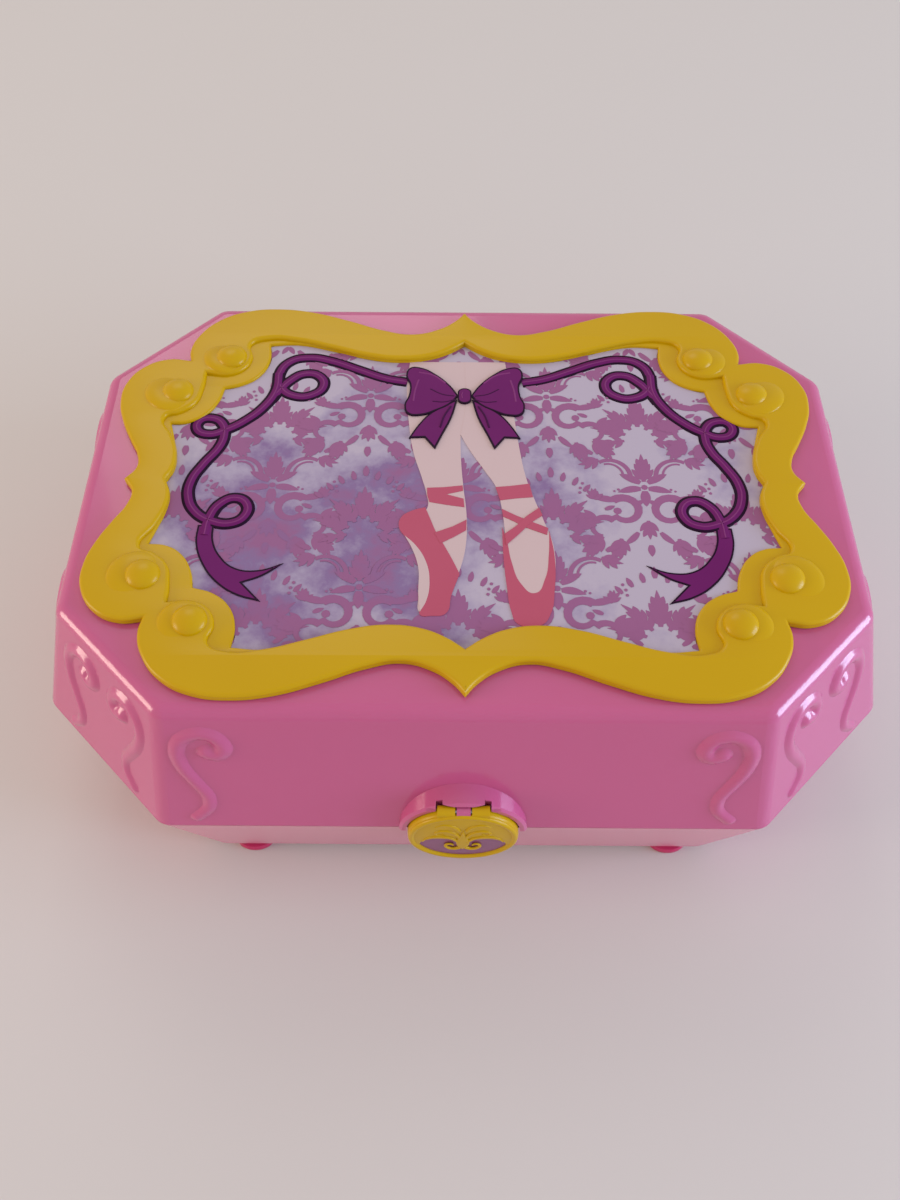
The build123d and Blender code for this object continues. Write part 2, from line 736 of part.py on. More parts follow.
with BuildPart() as bracket_right:
    with BuildSketch(across(36.0, axis_y, bed_top)):
        with Locations((4.0, (train_z + 2.6 - bed_top) / 2)):
            Rectangle(13.2, train_z + 2.6 - bed_top)
        with Locations((0, train_z - bed_top)):
            Circle(shaft_radius + running_fit, mode=Mode.SUBTRACT)
        with Locations((governor_y - axis_y, train_z - bed_top)):
            Circle(governor_shaft_radius + running_fit, mode=Mode.SUBTRACT)
    extrude(amount=bracket_thick)
save(bracket_right, "bracket_right")

with BuildPart() as governor_bracket:
    with BuildSketch(across(46.6, governor_y, bed_top)):
        with Locations((0, (train_z + 2.4 - bed_top) / 2)):
            Rectangle(4.8, train_z + 2.4 - bed_top)
        with Locations((0, train_z - bed_top)):
            Circle(governor_shaft_radius + running_fit, mode=Mode.SUBTRACT)
    extrude(amount=bracket_thick)
save(governor_bracket, "governor_bracket")

with BuildPart() as governor_arbor:
    with BuildSketch(across(35.8, governor_y, train_z)):
        Circle(governor_shaft_radius)
    extrude(amount=12.3)
save(governor_arbor, "governor_arbor")

with BuildPart() as governor_pinion:
    with BuildSketch(across(38.0, governor_y, train_z)):
        wheel_outline(8, 1.35, 2.35, 0.5, 0.3, 22.5)
        Circle(governor_shaft_radius + push_fit, mode=Mode.SUBTRACT)
    extrude(amount=wheel_thick)
save(governor_pinion, "governor_pinion")

with BuildPart() as air_brake:
    with BuildSketch(across(40.8, governor_y, train_z)):
        Circle(1.7)
        Rectangle(2 * governor_radius, 0.6)
        Circle(governor_shaft_radius + push_fit, mode=Mode.SUBTRACT)
    extrude(amount=4.4)
save(air_brake, "air_brake")

comb_top = train_z + 0.35
comb_reach = axis_y - drum_radius - pin_height - 0.3
with BuildPart() as comb_block:
    with BuildSketch(flat(cylinder_left + cylinder_length / 2, comb_y, bed_top)):
        Rectangle(cylinder_length + 8, 7)
    extrude(amount=comb_top - comb_thick - bed_top)
    with BuildSketch(flat(cylinder_left + cylinder_length / 2, comb_y, comb_top - 5)):
        with GridLocations(cylinder_length + 1, 1, 2, 1):
            Circle(comb_screw_radius + push_fit)
    extrude(amount=6, mode=Mode.SUBTRACT)
save(comb_block, "comb_block")

with BuildPart() as comb:
    with BuildSketch(Plane.XY.offset(comb_top - comb_thick)):
        with Locations((cylinder_left + cylinder_length / 2, comb_y)):
            Rectangle(cylinder_length + 6, 7)
        for row in range(comb_teeth):
            row_x = cylinder_left + 0.7 + row * (cylinder_length - 1.4) / (comb_teeth - 1)
            with Locations((row_x, (comb_reach - 3.2) / 2)):
                Rectangle(comb_tooth_wide, comb_reach + 3.2)
        with Locations((cylinder_left + cylinder_length / 2, comb_y)):
            with GridLocations(cylinder_length + 1, 1, 2, 1):
                Circle(comb_screw_radius + running_fit, mode=Mode.SUBTRACT)
    extrude(amount=comb_thick)
save(comb, "comb")

with BuildPart() as comb_screws:
    with BuildSketch(flat(cylinder_left + cylinder_length / 2, comb_y, comb_top - 4.5)):
        with GridLocations(cylinder_length + 1, 1, 2, 1):
            Circle(comb_screw_radius)
    extrude(amount=4.5)
    with BuildSketch(flat(cylinder_left + cylinder_length / 2, comb_y, comb_top)):
        with GridLocations(cylinder_length + 1, 1, 2, 1):
            Circle(2.0)
    extrude(amount=1.0)
save(comb_screws, "comb_screws")

# slide that stops the fly while the lid is shut; it lifts as the lid opens
slide_x = 43.0
slide_y = 58.0
slide_top = 33.7
with BuildPart() as stop_slide:
    with BuildSketch(flat(slide_x, slide_y, 15.4)):
        Rectangle(3, 3)
    extrude(amount=slide_top - 15.4)
    with BuildSketch(flat(slide_x, (slide_y + governor_y + governor_radius) / 2, 15.4)):
        Rectangle(3, slide_y - governor_y - governor_radius - 0.8)
    extrude(amount=1.8)
    with BuildSketch(flat(slide_x, governor_y + governor_radius + 1.4, 15.4)):
        Rectangle(3, 1.6)
    extrude(amount=7)
save(stop_slide, "stop_slide")

# ======================================================================== tray
with BuildPart() as tray:
    # the tray follows the sloping inside of the base
    with BuildSketch(Plane.XY.offset(tray_bottom)):
        Polygon(*hollow_outline(tray_bottom, -tray_gap), align=None)
    with BuildSketch(Plane.XY.offset(tray_rim)):
        Polygon(*hollow_outline(tray_rim, -tray_gap), align=None)
    loft(ruled=True)
    # left and right compartments
    for side in (-1, 1):
        with BuildSketch(Plane.XY.offset(tray_floor)):
            Polygon(*hollow_outline(tray_bottom, -tray_gap - 1.8), align=None)
            with Locations((-side * 100, 0)):
                Rectangle(200 + 2 * (deck_half_x + divider), 300, mode=Mode.SUBTRACT)
        extrude(amount=30, mode=Mode.SUBTRACT)
    # front compartment
    with BuildSketch(Plane.XY.offset(tray_floor)):
        with Locations((0, (deck_front - divider - 57.5) / 2)):
            Rectangle(2 * deck_half_x, 57.5 + deck_front - divider)
    extrude(amount=30, mode=Mode.SUBTRACT)
    # stage: open above the deck, room for the movement below it
    with BuildSketch(Plane.XY.offset(deck_top)):
        with Locations((0, (deck_front + 60.5) / 2)):
            Rectangle(2 * deck_half_x, 60.5 - deck_front)
    extrude(amount=10, mode=Mode.SUBTRACT)
    with BuildSketch(Plane.XY.offset(tray_bottom - 1)):
        with Locations((0, (deck_front + 60.5) / 2)):
            Rectangle(2 * deck_half_x, 60.5 - deck_front)
    extrude(amount=deck_bottom - tray_bottom + 1, mode=Mode.SUBTRACT)
    with BuildSketch(Plane.XY.offset(deck_bottom - 1)):
        with Locations((0, axis_y)):
            Circle(stage_hole)
        with Locations((slide_x, slide_y)):
            Rectangle(3.8, 3.8)
    extrude(amount=4, mode=Mode.SUBTRACT)
    # screw holes
    with BuildSketch(Plane.XY.offset(tray_bottom - 1)):
        with GridLocations(tray_screw_gap_x, tray_screw_gap_y, 2, 2):
            Circle(1.46)
    extrude(amount=4, mode=Mode.SUBTRACT)
save(tray, "tray")

with BuildPart() as tray_screws:
    with BuildSketch(Plane.XY.offset(tray_bottom - 5)):
        with GridLocations(tray_screw_gap_x, tray_screw_gap_y, 2, 2):
            Circle(1.4)
    extrude(amount=5 + tray_floor - tray_bottom)
    with BuildSketch(Plane.XY.offset(tray_floor)):
        with GridLocations(tray_screw_gap_x, tray_screw_gap_y, 2, 2):
            Circle(2.8)
    extrude(amount=bracket_thick)
    chamfer(tray_screws.faces().sort_by(Axis.Z)[-4:].edges(), 0.4)
save(tray_screws, "tray_screws")

with BuildPart() as stage_ring:
    with BuildSketch(flat(0, axis_y, deck_top)):
        Circle(stage_hole + 2.5)
        Circle(stage_hole, mode=Mode.SUBTRACT)
    extrude(amount=1.0)
save(stage_ring, "stage_ring")
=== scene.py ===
# %% [markdown]
# # A ballerina jewellery box
# The box is a pink two-part moulding: a lid with a gold scroll frame round a printed
# picture, a lower half on four pads, and a round gold clasp that holds the two together.
# The solid model is loaded first as a fixed frame. Its pieces keep their places, and the
# pieces that need softer shapes or finer detail are made here and ride on the same bodies.

import json
import math

import bpy
from mathutils import Matrix, Vector


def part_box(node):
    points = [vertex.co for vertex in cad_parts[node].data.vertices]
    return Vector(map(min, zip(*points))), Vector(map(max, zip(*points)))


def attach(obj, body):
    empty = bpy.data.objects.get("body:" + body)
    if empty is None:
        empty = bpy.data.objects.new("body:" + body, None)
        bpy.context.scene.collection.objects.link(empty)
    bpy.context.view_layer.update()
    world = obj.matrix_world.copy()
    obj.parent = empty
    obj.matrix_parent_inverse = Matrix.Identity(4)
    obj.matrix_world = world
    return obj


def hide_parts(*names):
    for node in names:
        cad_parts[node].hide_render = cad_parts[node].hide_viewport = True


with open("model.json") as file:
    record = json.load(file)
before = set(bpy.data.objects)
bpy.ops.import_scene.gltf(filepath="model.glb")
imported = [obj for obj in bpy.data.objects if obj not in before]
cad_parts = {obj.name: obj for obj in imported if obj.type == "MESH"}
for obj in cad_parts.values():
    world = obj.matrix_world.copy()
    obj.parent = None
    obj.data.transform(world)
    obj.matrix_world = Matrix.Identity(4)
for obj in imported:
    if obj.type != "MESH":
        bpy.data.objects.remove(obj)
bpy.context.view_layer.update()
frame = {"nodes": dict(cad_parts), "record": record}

# %% [markdown]
# Sizes are easier to think about in millimetres, while Blender works in metres. The
# drawing of the lid is centred on the picture panel, so its middle is read from the
# panel's own box instead of being typed in. Three short helpers select one object and
# apply its place, turn and size, as a finished piece has to lie at the origin.

# %% Millimetres and the middle of the lid
MM = 0.001
panel_low, panel_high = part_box("picture_panel")
LID_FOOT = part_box("lid_shell")[0][2] / MM
MIDDLE_Y = (panel_low[1] + panel_high[1]) / 2 / MM
LID_TOP = panel_low[2] / MM
PANEL_TOP = panel_high[2] / MM
print("lid top", round(LID_TOP, 2), "middle", round(MIDDLE_Y, 2))


def place(x, y, z):
    """A point drawn about the middle of the lid, in metres."""
    return Vector((x * MM, (y + MIDDLE_Y) * MM, z * MM))


def deselect():
    bpy.ops.object.select_all(action="DESELECT")


def choose(obj):
    """Make one object the only selected and active one."""
    deselect()
    obj.select_set(True)
    bpy.context.view_layer.objects.active = obj


def settle(obj):
    """Apply an object's place, turn and size so that they live in its mesh."""
    choose(obj)
    bpy.ops.object.transform_apply(location=True, rotation=True, scale=True)
    return obj


# %% [markdown]
# A colour read as red, green and blue from 0 to 255 has to be made linear before a
# shader can use it. One small function keeps that out of the recipes below.

# %% Colours
def tint(red, green, blue):
    """Display colour, 0 to 255, as a linear colour with full opacity."""
    out = []
    for value in (red, green, blue):
        share = value / 255
        out.append(share / 12.92 if share <= 0.04045 else ((share + 0.055) / 1.055) ** 2.4)
    return (*out, 1.0)


# %% [markdown]
# Moulded plastic is never quite even: the colour drifts a little, the surface carries
# a fine ripple, and the gloss is broken by handling. The recipe mixes two near colours
# through a large soft noise and feeds a fine noise to the bump. The same recipe, with
# other numbers, serves painted and metal parts. After the two colours come the
# roughness, the size of a patch and of a ripple in metres, and the strength of the bump.

# %% Recipe for a finish
RIPPLE_DEPTH = 0.0002
GLOW_RADIUS, GLOW_DEPTH = (1.0, 0.45, 0.55), 0.002


def finish(name, first, second, rough, patch=0.03, ripple=0.0006, bump=0.05, metal=0.0,
           coat=0.0, coat_rough=0.1, rough_spread=0.06, sheen=0.0, under=0.0, streak=(1, 1, 1),
           specular=0.5):
    """Node material with drifting colour, uneven gloss and a fine surface ripple."""
    made = bpy.data.materials.new(name)
    made.use_nodes = True
    nodes = made.node_tree.nodes
    link = made.node_tree.links.new
    skin = nodes["Principled BSDF"]
    spot = nodes.new("ShaderNodeTexCoord")
    turn = nodes.new("ShaderNodeMapping")
    turn.inputs["Scale"].default_value = streak
    link(spot.outputs["Object"], turn.inputs["Vector"])
    drift = nodes.new("ShaderNodeTexNoise")
    drift.inputs["Scale"].default_value = 1 / patch
    drift.inputs["Detail"].default_value = 4
    link(turn.outputs["Vector"], drift.inputs["Vector"])
    blend = nodes.new("ShaderNodeMix")
    blend.data_type = "RGBA"
    blend.inputs["A"].default_value = first
    blend.inputs["B"].default_value = second
    link(drift.outputs["Fac"], blend.inputs["Factor"])
    link(blend.outputs["Result"], skin.inputs["Base Color"])
    gloss = nodes.new("ShaderNodeMapRange")
    gloss.inputs["To Min"].default_value = max(0.02, rough - rough_spread)
    gloss.inputs["To Max"].default_value = rough + rough_spread
    link(drift.outputs["Fac"], gloss.inputs["Value"])
    link(gloss.outputs["Result"], skin.inputs["Roughness"])
    grain = nodes.new("ShaderNodeTexNoise")
    grain.inputs["Scale"].default_value = 1 / ripple
    grain.inputs["Detail"].default_value = 3
    link(turn.outputs["Vector"], grain.inputs["Vector"])
    lift = nodes.new("ShaderNodeBump")
    lift.inputs["Strength"].default_value = bump
    lift.inputs["Distance"].default_value = RIPPLE_DEPTH
    link(grain.outputs["Fac"], lift.inputs["Height"])
    link(lift.outputs["Normal"], skin.inputs["Normal"])
    skin.inputs["Metallic"].default_value = metal
    skin.inputs["Coat Weight"].default_value = coat
    skin.inputs["Coat Roughness"].default_value = coat_rough
    skin.inputs["Sheen Weight"].default_value = sheen
    skin.inputs["Specular IOR Level"].default_value = specular
    if under:
        skin.inputs["Subsurface Weight"].default_value = under
        skin.inputs["Subsurface Radius"].default_value = GLOW_RADIUS
        skin.inputs["Subsurface Scale"].default_value = GLOW_DEPTH
    return made


def wear(material, *objects):
    """Give objects one material in place of what they had."""
    for obj in objects:
        obj.data.materials.clear()
        obj.data.materials.append(material)


# %% [markdown]
# ## The finishes of the box
# The shell is a slightly milky pink with a soft gloss. The lower half is the same
# plastic painted a paler pink, as a painted reflection of the pale table on its low band.
# The frame and clasp are moulded in a mustard gold with a satin skin, so they are plastic
# and not metal. Steel and brass are kept for the movement inside.

# %% The finishes
pink_shell = finish("pink_shell", tint(192, 84, 130), tint(198, 90, 136), 0.2, 0.09, 0.004,
                    0.02, coat=0.35, coat_rough=0.06, under=0.1)
# Shell plastic made paler: painted light, a painted reflection of the table on the lower half.
base_pink_painted_reflection = finish("base_pink_painted_reflection", tint(216, 130, 154), tint(222, 138, 160), 0.24, 0.09, 0.004,
                   0.02, coat=0.2, coat_rough=0.1, under=0.1)
pad_pink = finish("pad_pink", tint(196, 44, 96), tint(182, 36, 88), 0.4, 0.01, 0.0005, 0.2)
gold_paint = finish("gold_paint", tint(195, 152, 0), tint(201, 160, 4), 0.3, 0.04, 0.0006,
                    0.04, coat=0.03, coat_rough=0.12, specular=0.2)
purple_enamel = finish("purple_enamel", tint(142, 66, 104), tint(112, 56, 108), 0.25, 0.012,
                       0.0008, 0.05, coat=0.2)
steel = finish("steel", (0.55, 0.56, 0.58, 1), (0.42, 0.43, 0.45, 1), 0.3, 0.004, 0.0002,
               0.25, metal=1.0, streak=(1, 8, 1))
brass = finish("brass", (0.72, 0.50, 0.18, 1), (0.58, 0.38, 0.12, 1), 0.3, 0.006, 0.0002,
               0.2, metal=1.0, streak=(6, 1, 1))
silvering = finish("silvering", (0.9, 0.91, 0.93, 1), (0.86, 0.88, 0.9, 1), 0.05, 0.03, 0.004,
                   0.01, metal=1.0, rough_spread=0.02)
tray_pink = finish("tray_pink", tint(226, 156, 190), tint(218, 144, 182), 0.6, 0.02, 0.0006,
                   0.35, sheen=0.3)
milk_white = finish("milk_white", tint(222, 214, 210), tint(212, 204, 198), 0.45, 0.01, 0.0006,
                    0.1)
skin_tone = finish("skin_tone", tint(226, 188, 170), tint(220, 178, 160), 0.42, 0.006, 0.0004,
                   0.08, under=0.1)
tulle = finish("tulle", tint(236, 160, 196), tint(244, 190, 214), 0.75, 0.002, 0.0004, 0.6,
               sheen=0.5)
finish_of = {
    "pink_shell": pink_shell, "hot_pink": pad_pink, "gold_paint": gold_paint,
    "picture": milk_white, "purple": purple_enamel, "steel": steel, "brass": brass,
    "mirror": silvering, "tray_plastic": tray_pink, "white_plastic": milk_white,
    "figure": skin_tone, "tulle": tulle,
}
for entry in frame["record"]["subparts"]:
    wear(finish_of[entry["material_slot"]], frame["nodes"][entry["node"]])
# The lower half wears the paler pink, which is a painted reflection of the table and not a colour
# of its own.
wear(base_pink_painted_reflection, frame["nodes"]["base_shell"])
print("finishes", len(finish_of) + 1)

# %% [markdown]
# ## Smooth closed outlines
# Frame, ribbon, shoes and leaves are all flat shapes with flowing edges. By hand they
# would be traced with a Bezier curve, so each one is a curve whose handles are left on
# automatic, filled, given a thickness and a rounded rim, and then turned into a mesh.
# A handle is set to vector where the outline has a sharp tip. A stand says where the
# drawing board lies: flat on the lid, or upright on the clasp. A strand is the open
# relative of such a shape: a round bevel along a path, squashed until it lies flat.

# %% Flat shapes from curves
LID_STAND = Matrix.Translation(place(0, 0, 0))
CREASE = math.radians(35)
WELD = 0.000002


def trace_loop(data, points, sharp=(), closed=True):
    """Add one smooth loop through points to a curve; sharp lists the tips."""
    loop = data.splines.new("BEZIER")
    loop.bezier_points.add(len(points) - 1)
    for index, (x, y) in enumerate(points):
        knot = loop.bezier_points[index]
        knot.co = (x * MM, y * MM, 0)
        kind = "VECTOR" if index in sharp else "AUTO"
        knot.handle_left_type = kind
        knot.handle_right_type = kind
    loop.use_cyclic_u = closed
    loop.resolution_u = 8
    return loop


def cut_shape(name, loops, low, high, rim=0.0, sharp=(), steps=3, stand=None):
    """Filled flat shape between two levels, with an optional rounded rim."""
    data = bpy.data.curves.new(name, "CURVE")
    data.dimensions = "2D"
    data.fill_mode = "BOTH"
    for number, points in enumerate(loops):
        trace_loop(data, points, sharp[number] if number < len(sharp) else ())
    data.extrude = ((high - low) / 2 - rim) * MM
    data.bevel_depth = rim * MM
    data.bevel_resolution = steps
    data.offset = -rim * MM
    made = bpy.data.objects.new(name, data)
    bpy.context.collection.objects.link(made)
    made.matrix_world = (stand or LID_STAND) @ Matrix.Translation((0, 0, (low + high) / 2 * MM))
    choose(made)
    bpy.ops.object.convert(target="MESH")
    made = bpy.context.object
    bpy.ops.object.mode_set(mode="EDIT")
    bpy.ops.mesh.select_all(action="SELECT")
    bpy.ops.mesh.remove_doubles(threshold=WELD)
    bpy.ops.mesh.normals_make_consistent(inside=False)
    bpy.ops.object.mode_set(mode="OBJECT")
    settle(made)
    bpy.ops.object.shade_smooth_by_angle(angle=CREASE)
    return made


def strand(name, points, width, low, high, taper=None, stand=None):
    """Rounded flat band that follows an open path, like a ribbon seen from above."""
    data = bpy.data.curves.new(name, "CURVE")
    data.dimensions = "3D"
    path = trace_loop(data, points, closed=False)
    for index, knot in enumerate(path.bezier_points):
        share = index / (len(points) - 1)
        knot.radius = taper(share) if taper else 1.0
    data.bevel_depth = width / 2 * MM
    data.bevel_resolution = 3
    data.use_fill_caps = True
    made = bpy.data.objects.new(name, data)
    bpy.context.collection.objects.link(made)
    squash = Matrix.Diagonal((1, 1, (high - low) / width, 1))
    lift = Matrix.Translation((0, 0, (low + high) / 2 * MM))
    made.matrix_world = (stand or LID_STAND) @ lift @ squash
    choose(made)
    bpy.ops.object.convert(target="MESH")
    made = settle(bpy.context.object)
    bpy.ops.object.shade_smooth()
    return made


def mirrored(points):
    """The same outline on the other side of the middle line."""
    return [(-x, y) for x, y in points]


def join(name, *parts):
    """Join several meshes into one piece."""
    deselect()
    for part in parts:
        part.select_set(True)
    bpy.context.view_layer.objects.active = parts[0]
    bpy.ops.object.join()
    made = bpy.context.object
    made.name = name
    return made


# %% [markdown]
# ## The scroll frame
# One quarter of the frame's outline is drawn and turned round all four quarters. The
# frame has two levels: a lower plate whose lobes peep out towards the picture, and the
# upper band that rolls into two curls at each corner. Each curl ends in a domed button.

# %% Outline of the frame
outer_quarter = [(0, -57), (2.5, -54.0), (7, -50.8), (13.5, -49.0), (21, -50.4), (30, -53.8),
                 (40, -57.0), (49, -58.1), (57, -57.2), (64, -53.8), (68.8, -48.0),
                 (70.4, -42.5), (69.9, -38.9), (75, -39.4), (81, -36.8), (84.9, -31.0),
                 (85.4, -24.5), (83.6, -18), (81.0, -12.5), (78.5, -7.6), (78.0, -3.6), (80.3, 0)]
lower_quarter = [(0, -46), (4, -43.2), (9, -41.0), (16.5, -40.0), (25, -41.2), (34, -43.9),
                 (43, -46.0), (50.1, -45.6), (49.8, -40.2), (51.6, -35.2), (55.4, -31.8),
                 (60.3, -30.2), (61.4, -25.4), (64.4, -20.8), (68.0, -18.7), (72.0, -18.3),
                 (70.6, -13.5), (69.3, -8.5), (69.2, -3.6), (70.6, 0)]
upper_quarter = [(0, -46), (4, -43.2), (9, -41.0), (16.5, -40.0), (25, -41.2), (34, -43.9),
                 (43, -46.4), (51, -47.0), (55.0, -45.0), (54.2, -40.2), (55.8, -36.4),
                 (59.6, -34.2), (65.2, -34.6), (65.4, -29.4), (66.6, -24.6), (70.0, -21.4),
                 (73.6, -19.6), (71.0, -13.5), (69.3, -8.5), (69.2, -3.6), (70.6, 0)]


def all_round(quarter):
    """A quarter outline, tip to tip, carried round the four quarters."""
    right = quarter + [(x, -y) for x, y in quarter[-2::-1]]
    return right + [(-x, y) for x, y in right[-2:0:-1]]


def tips(quarter, notches):
    """Numbers of the sharp points once the quarter has gone all round."""
    last = len(quarter) - 1
    half = 2 * last
    wanted = []
    for notch in notches:
        for spot in (notch, half - notch, half + notch, 2 * half - notch):
            wanted.append(spot % (2 * half))
    return sorted(set(wanted))


outer_sharp = tips(outer_quarter, (0, 12, 21))
lower_sharp = tips(lower_quarter, (0, 7, 11, 15, 19))
upper_sharp = tips(upper_quarter, (0, 12, 20))

# %% [markdown]
# The plate and the band are cut from the same outer outline with different openings. A
# curl is a low dome that leans towards the picture: its edge is crisp on that side and
# melts into the band on the other. Domes are spheres squashed, tipped and cut flat below.

# %% Plate, band, curls and buttons
PLATE_HEIGHT, PLATE_RIM = 1.3, 0.5
BAND_HEIGHT, BAND_RIM, BAND_SINK = 2.4, 0.9, 0.5
CURLS = ((60.6, -40.4, 6.2), (72.6, -28.4, 7.2))
CURL_RISE, CURL_SINK, CURL_LEAN = 1.7, 1.15, math.radians(9)
BUTTON_RADIUS, BUTTON_RISE, BUTTON_SINK, BUTTON_LEAN = 3.9, 2.2, 0.1, math.radians(4)
BUTTON_SHIFT_X, BUTTON_SHIFT_Y = -1.2, 0.6
FRAME_TOP = LID_TOP + BAND_HEIGHT
frame_plate = cut_shape("frame_plate", [all_round(outer_quarter), all_round(lower_quarter)],
                        LID_TOP, LID_TOP + PLATE_HEIGHT, PLATE_RIM, [outer_sharp, lower_sharp])
frame_band = cut_shape("frame_band", [all_round(outer_quarter), all_round(upper_quarter)],
                       LID_TOP + BAND_SINK, FRAME_TOP, BAND_RIM, [outer_sharp, upper_sharp], 5)
frame_bits = [frame_plate, frame_band]


def dome(x, y, radius, rise, level, lean=0.0, towards=(0, 1)):
    """Low round dome on the frame, leaning towards one side and cut flat below."""
    deselect()
    bpy.ops.mesh.primitive_uv_sphere_add(segments=56, ring_count=28, radius=radius * MM)
    made = bpy.context.object
    made.scale = (1, 1, rise / radius)
    settle(made)
    axis = Vector((towards[1], -towards[0], 0))
    made.matrix_world = (Matrix.Translation(place(x, y, level))
                         @ Matrix.Rotation(-lean, 4, axis))
    settle(made)
    bpy.ops.object.mode_set(mode="EDIT")
    bpy.ops.mesh.select_all(action="SELECT")
    bpy.ops.mesh.bisect(plane_co=place(0, 0, LID_TOP + 0.4), plane_no=(0, 0, 1),
                        clear_inner=True, use_fill=True)
    bpy.ops.object.mode_set(mode="OBJECT")
    bpy.ops.object.shade_smooth_by_angle(angle=math.radians(50))
    return made


for flip_x in (1, -1):
    for flip_y in (1, -1):
        inward = (-0.7 * flip_x, -0.7 * flip_y)
        for x, y, size in CURLS:
            frame_bits.append(dome(flip_x * x, flip_y * y, size, CURL_RISE,
                                   FRAME_TOP - CURL_SINK, CURL_LEAN, inward))
            frame_bits.append(dome(flip_x * (x + BUTTON_SHIFT_X), flip_y * (y + BUTTON_SHIFT_Y),
                                   BUTTON_RADIUS, BUTTON_RISE, FRAME_TOP - BUTTON_SINK,
                                   BUTTON_LEAN, inward))
scroll_frame = join("gold_scroll_frame", *frame_bits)
wear(gold_paint, scroll_frame)
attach(scroll_frame, "lid")
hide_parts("scroll_frame")
print("frame faces", len(scroll_frame.data.polygons))

# %% [markdown]
# ## Scrolls moulded in the lid's walls
# Beside each corner the wall swells into a soft S-shaped scroll. A tube laid on the wall
# would meet it with a hard crease, so the scroll is a height field instead: a fine grid
# over the wall whose points rise in a rounded ridge along the scroll's line, and dip
# just under the wall everywhere else.

# %% The scroll's line and the sloping walls
SEAM_LIP = 3.15
TOP_HALF_X, TOP_HALF_Y, TOP_CUT, FLARE = 90.0, 60.75, 25.5, 10.45
SCROLL_HEIGHT, SCROLL_WIDTH, SCROLL_DIP = 1.25, 2.5, 0.14
SCROLL_TAPER, RIDGE_POWER, BURIED = 0.3, 1.3, -0.1
SCROLL_LEVEL = 50.2
scroll_knots = [(3.4, 8.0), (5.6, 7.2), (7.2, 9.4), (5.6, 12.6), (2.0, 13.6), (-1.6, 11.6),
                (-3.0, 7.6), (-2.2, 2.6), (0.0, -2.2), (1.9, -6.4), (1.5, -10.4), (-1.6, -13.8)]


def smooth_line(knots, steps=6):
    """Points of a smooth curve through the knots."""
    ends = [knots[0]] + knots + [knots[-1]]
    out = []
    for before, start, end, after in zip(ends, ends[1:], ends[2:], ends[3:]):
        for step in range(steps):
            t = step / steps
            out.append(tuple(
                0.5 * (2 * b + (c - a) * t + (2 * a - 5 * b + 4 * c - d) * t * t
                       + (3 * b - a - 3 * c + d) * t ** 3)
                for a, b, c, d in zip(before, start, end, after)))
    return out + [knots[-1]]


scroll_line = smooth_line(scroll_knots)


def swell(x, y):
    """How far the wall stands out at a point of the scroll's drawing board."""
    best = 0.0
    for number, (px, py) in enumerate(scroll_line):
        share = number / (len(scroll_line) - 1)
        width = SCROLL_WIDTH * (1.0 - SCROLL_TAPER * share)
        height = SCROLL_HEIGHT * (1.0 - SCROLL_TAPER * share)
        gap = ((x - px) ** 2 + (y - py) ** 2) / width ** 2
        best = max(best, height * max(0.0, 1 - gap) ** RIDGE_POWER)
    return best - SCROLL_DIP


# %% [markdown]
# The box has four straight walls and four slanting corners. Each carries two scrolls that
# face each other, so the one patch of grid is worked out once and laid sixteen times. Each
# place gives the way its wall looks, how far out the wall is, and the step along it. Grid
# faces that lie wholly under the wall are left out.

# %% Scrolls on all eight walls
LONG_WALL_STEP, SHORT_WALL_STEP, CORNER_STEP = 58.6, 27.0, 10.5
slope = math.atan2(FLARE, LID_TOP - (LID_FOOT + SEAM_LIP))
corner_reach = (TOP_HALF_X + TOP_HALF_Y - TOP_CUT) / math.sqrt(2)
corner_shift = (TOP_HALF_X - TOP_HALF_Y) / math.sqrt(2)
walls = [(270, TOP_HALF_Y, 0, LONG_WALL_STEP), (90, TOP_HALF_Y, 0, LONG_WALL_STEP),
         (0, TOP_HALF_X, 0, SHORT_WALL_STEP), (180, TOP_HALF_X, 0, SHORT_WALL_STEP)]
walls += [(looks, corner_reach, way * corner_shift, CORNER_STEP)
          for looks, way in ((45, -1), (135, 1), (225, -1), (315, 1))]
scroll_places = [(looks, reach, shift + hand * step, -hand)
                 for looks, reach, shift, step in walls for hand in (-1, 1)]
GRID = 0.45
grid_x = [-7.0 + GRID * count for count in range(41)]
grid_y = [-17.4 + GRID * count for count in range(79)]
heights = {(i, j): swell(x, y) for i, x in enumerate(grid_x) for j, y in enumerate(grid_y)}
verts, faces = [], []
for looks, reach, along, hand in scroll_places:
    angle = math.radians(looks)
    out = Vector((math.cos(angle), math.sin(angle), 0))
    side = Vector((-out.y, out.x, 0))
    drop = (LID_TOP - SCROLL_LEVEL) * math.tan(slope)
    middle = out * (reach + drop) + side * along + Vector((0, 0, SCROLL_LEVEL))
    normal = out * math.cos(slope) + Vector((0, 0, math.sin(slope)))
    rise = normal.cross(side)
    known = {}
    for i in range(len(grid_x) - 1):
        for j in range(len(grid_y) - 1):
            corners = [(i, j), (i + 1, j), (i + 1, j + 1), (i, j + 1)]
            if max(heights[corner] for corner in corners) < BURIED:
                continue
            for corner in corners:
                if corner not in known:
                    known[corner] = len(verts)
                    spot = (middle + side * (hand * grid_x[corner[0]]) + rise * grid_y[corner[1]]
                            + normal * heights[corner])
                    verts.append(place(*spot))
            face = [known[corner] for corner in corners]
            faces.append(face if hand > 0 else face[::-1])
scroll_mesh = bpy.data.meshes.new("lid_scrolls")
scroll_mesh.from_pydata(verts, [], faces)
lid_scrolls = bpy.data.objects.new("lid_scrolls", scroll_mesh)
bpy.context.collection.objects.link(lid_scrolls)
choose(lid_scrolls)
bpy.ops.object.shade_smooth()
wear(pink_shell, lid_scrolls)
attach(lid_scrolls, "lid")
print("scroll faces", len(faces))

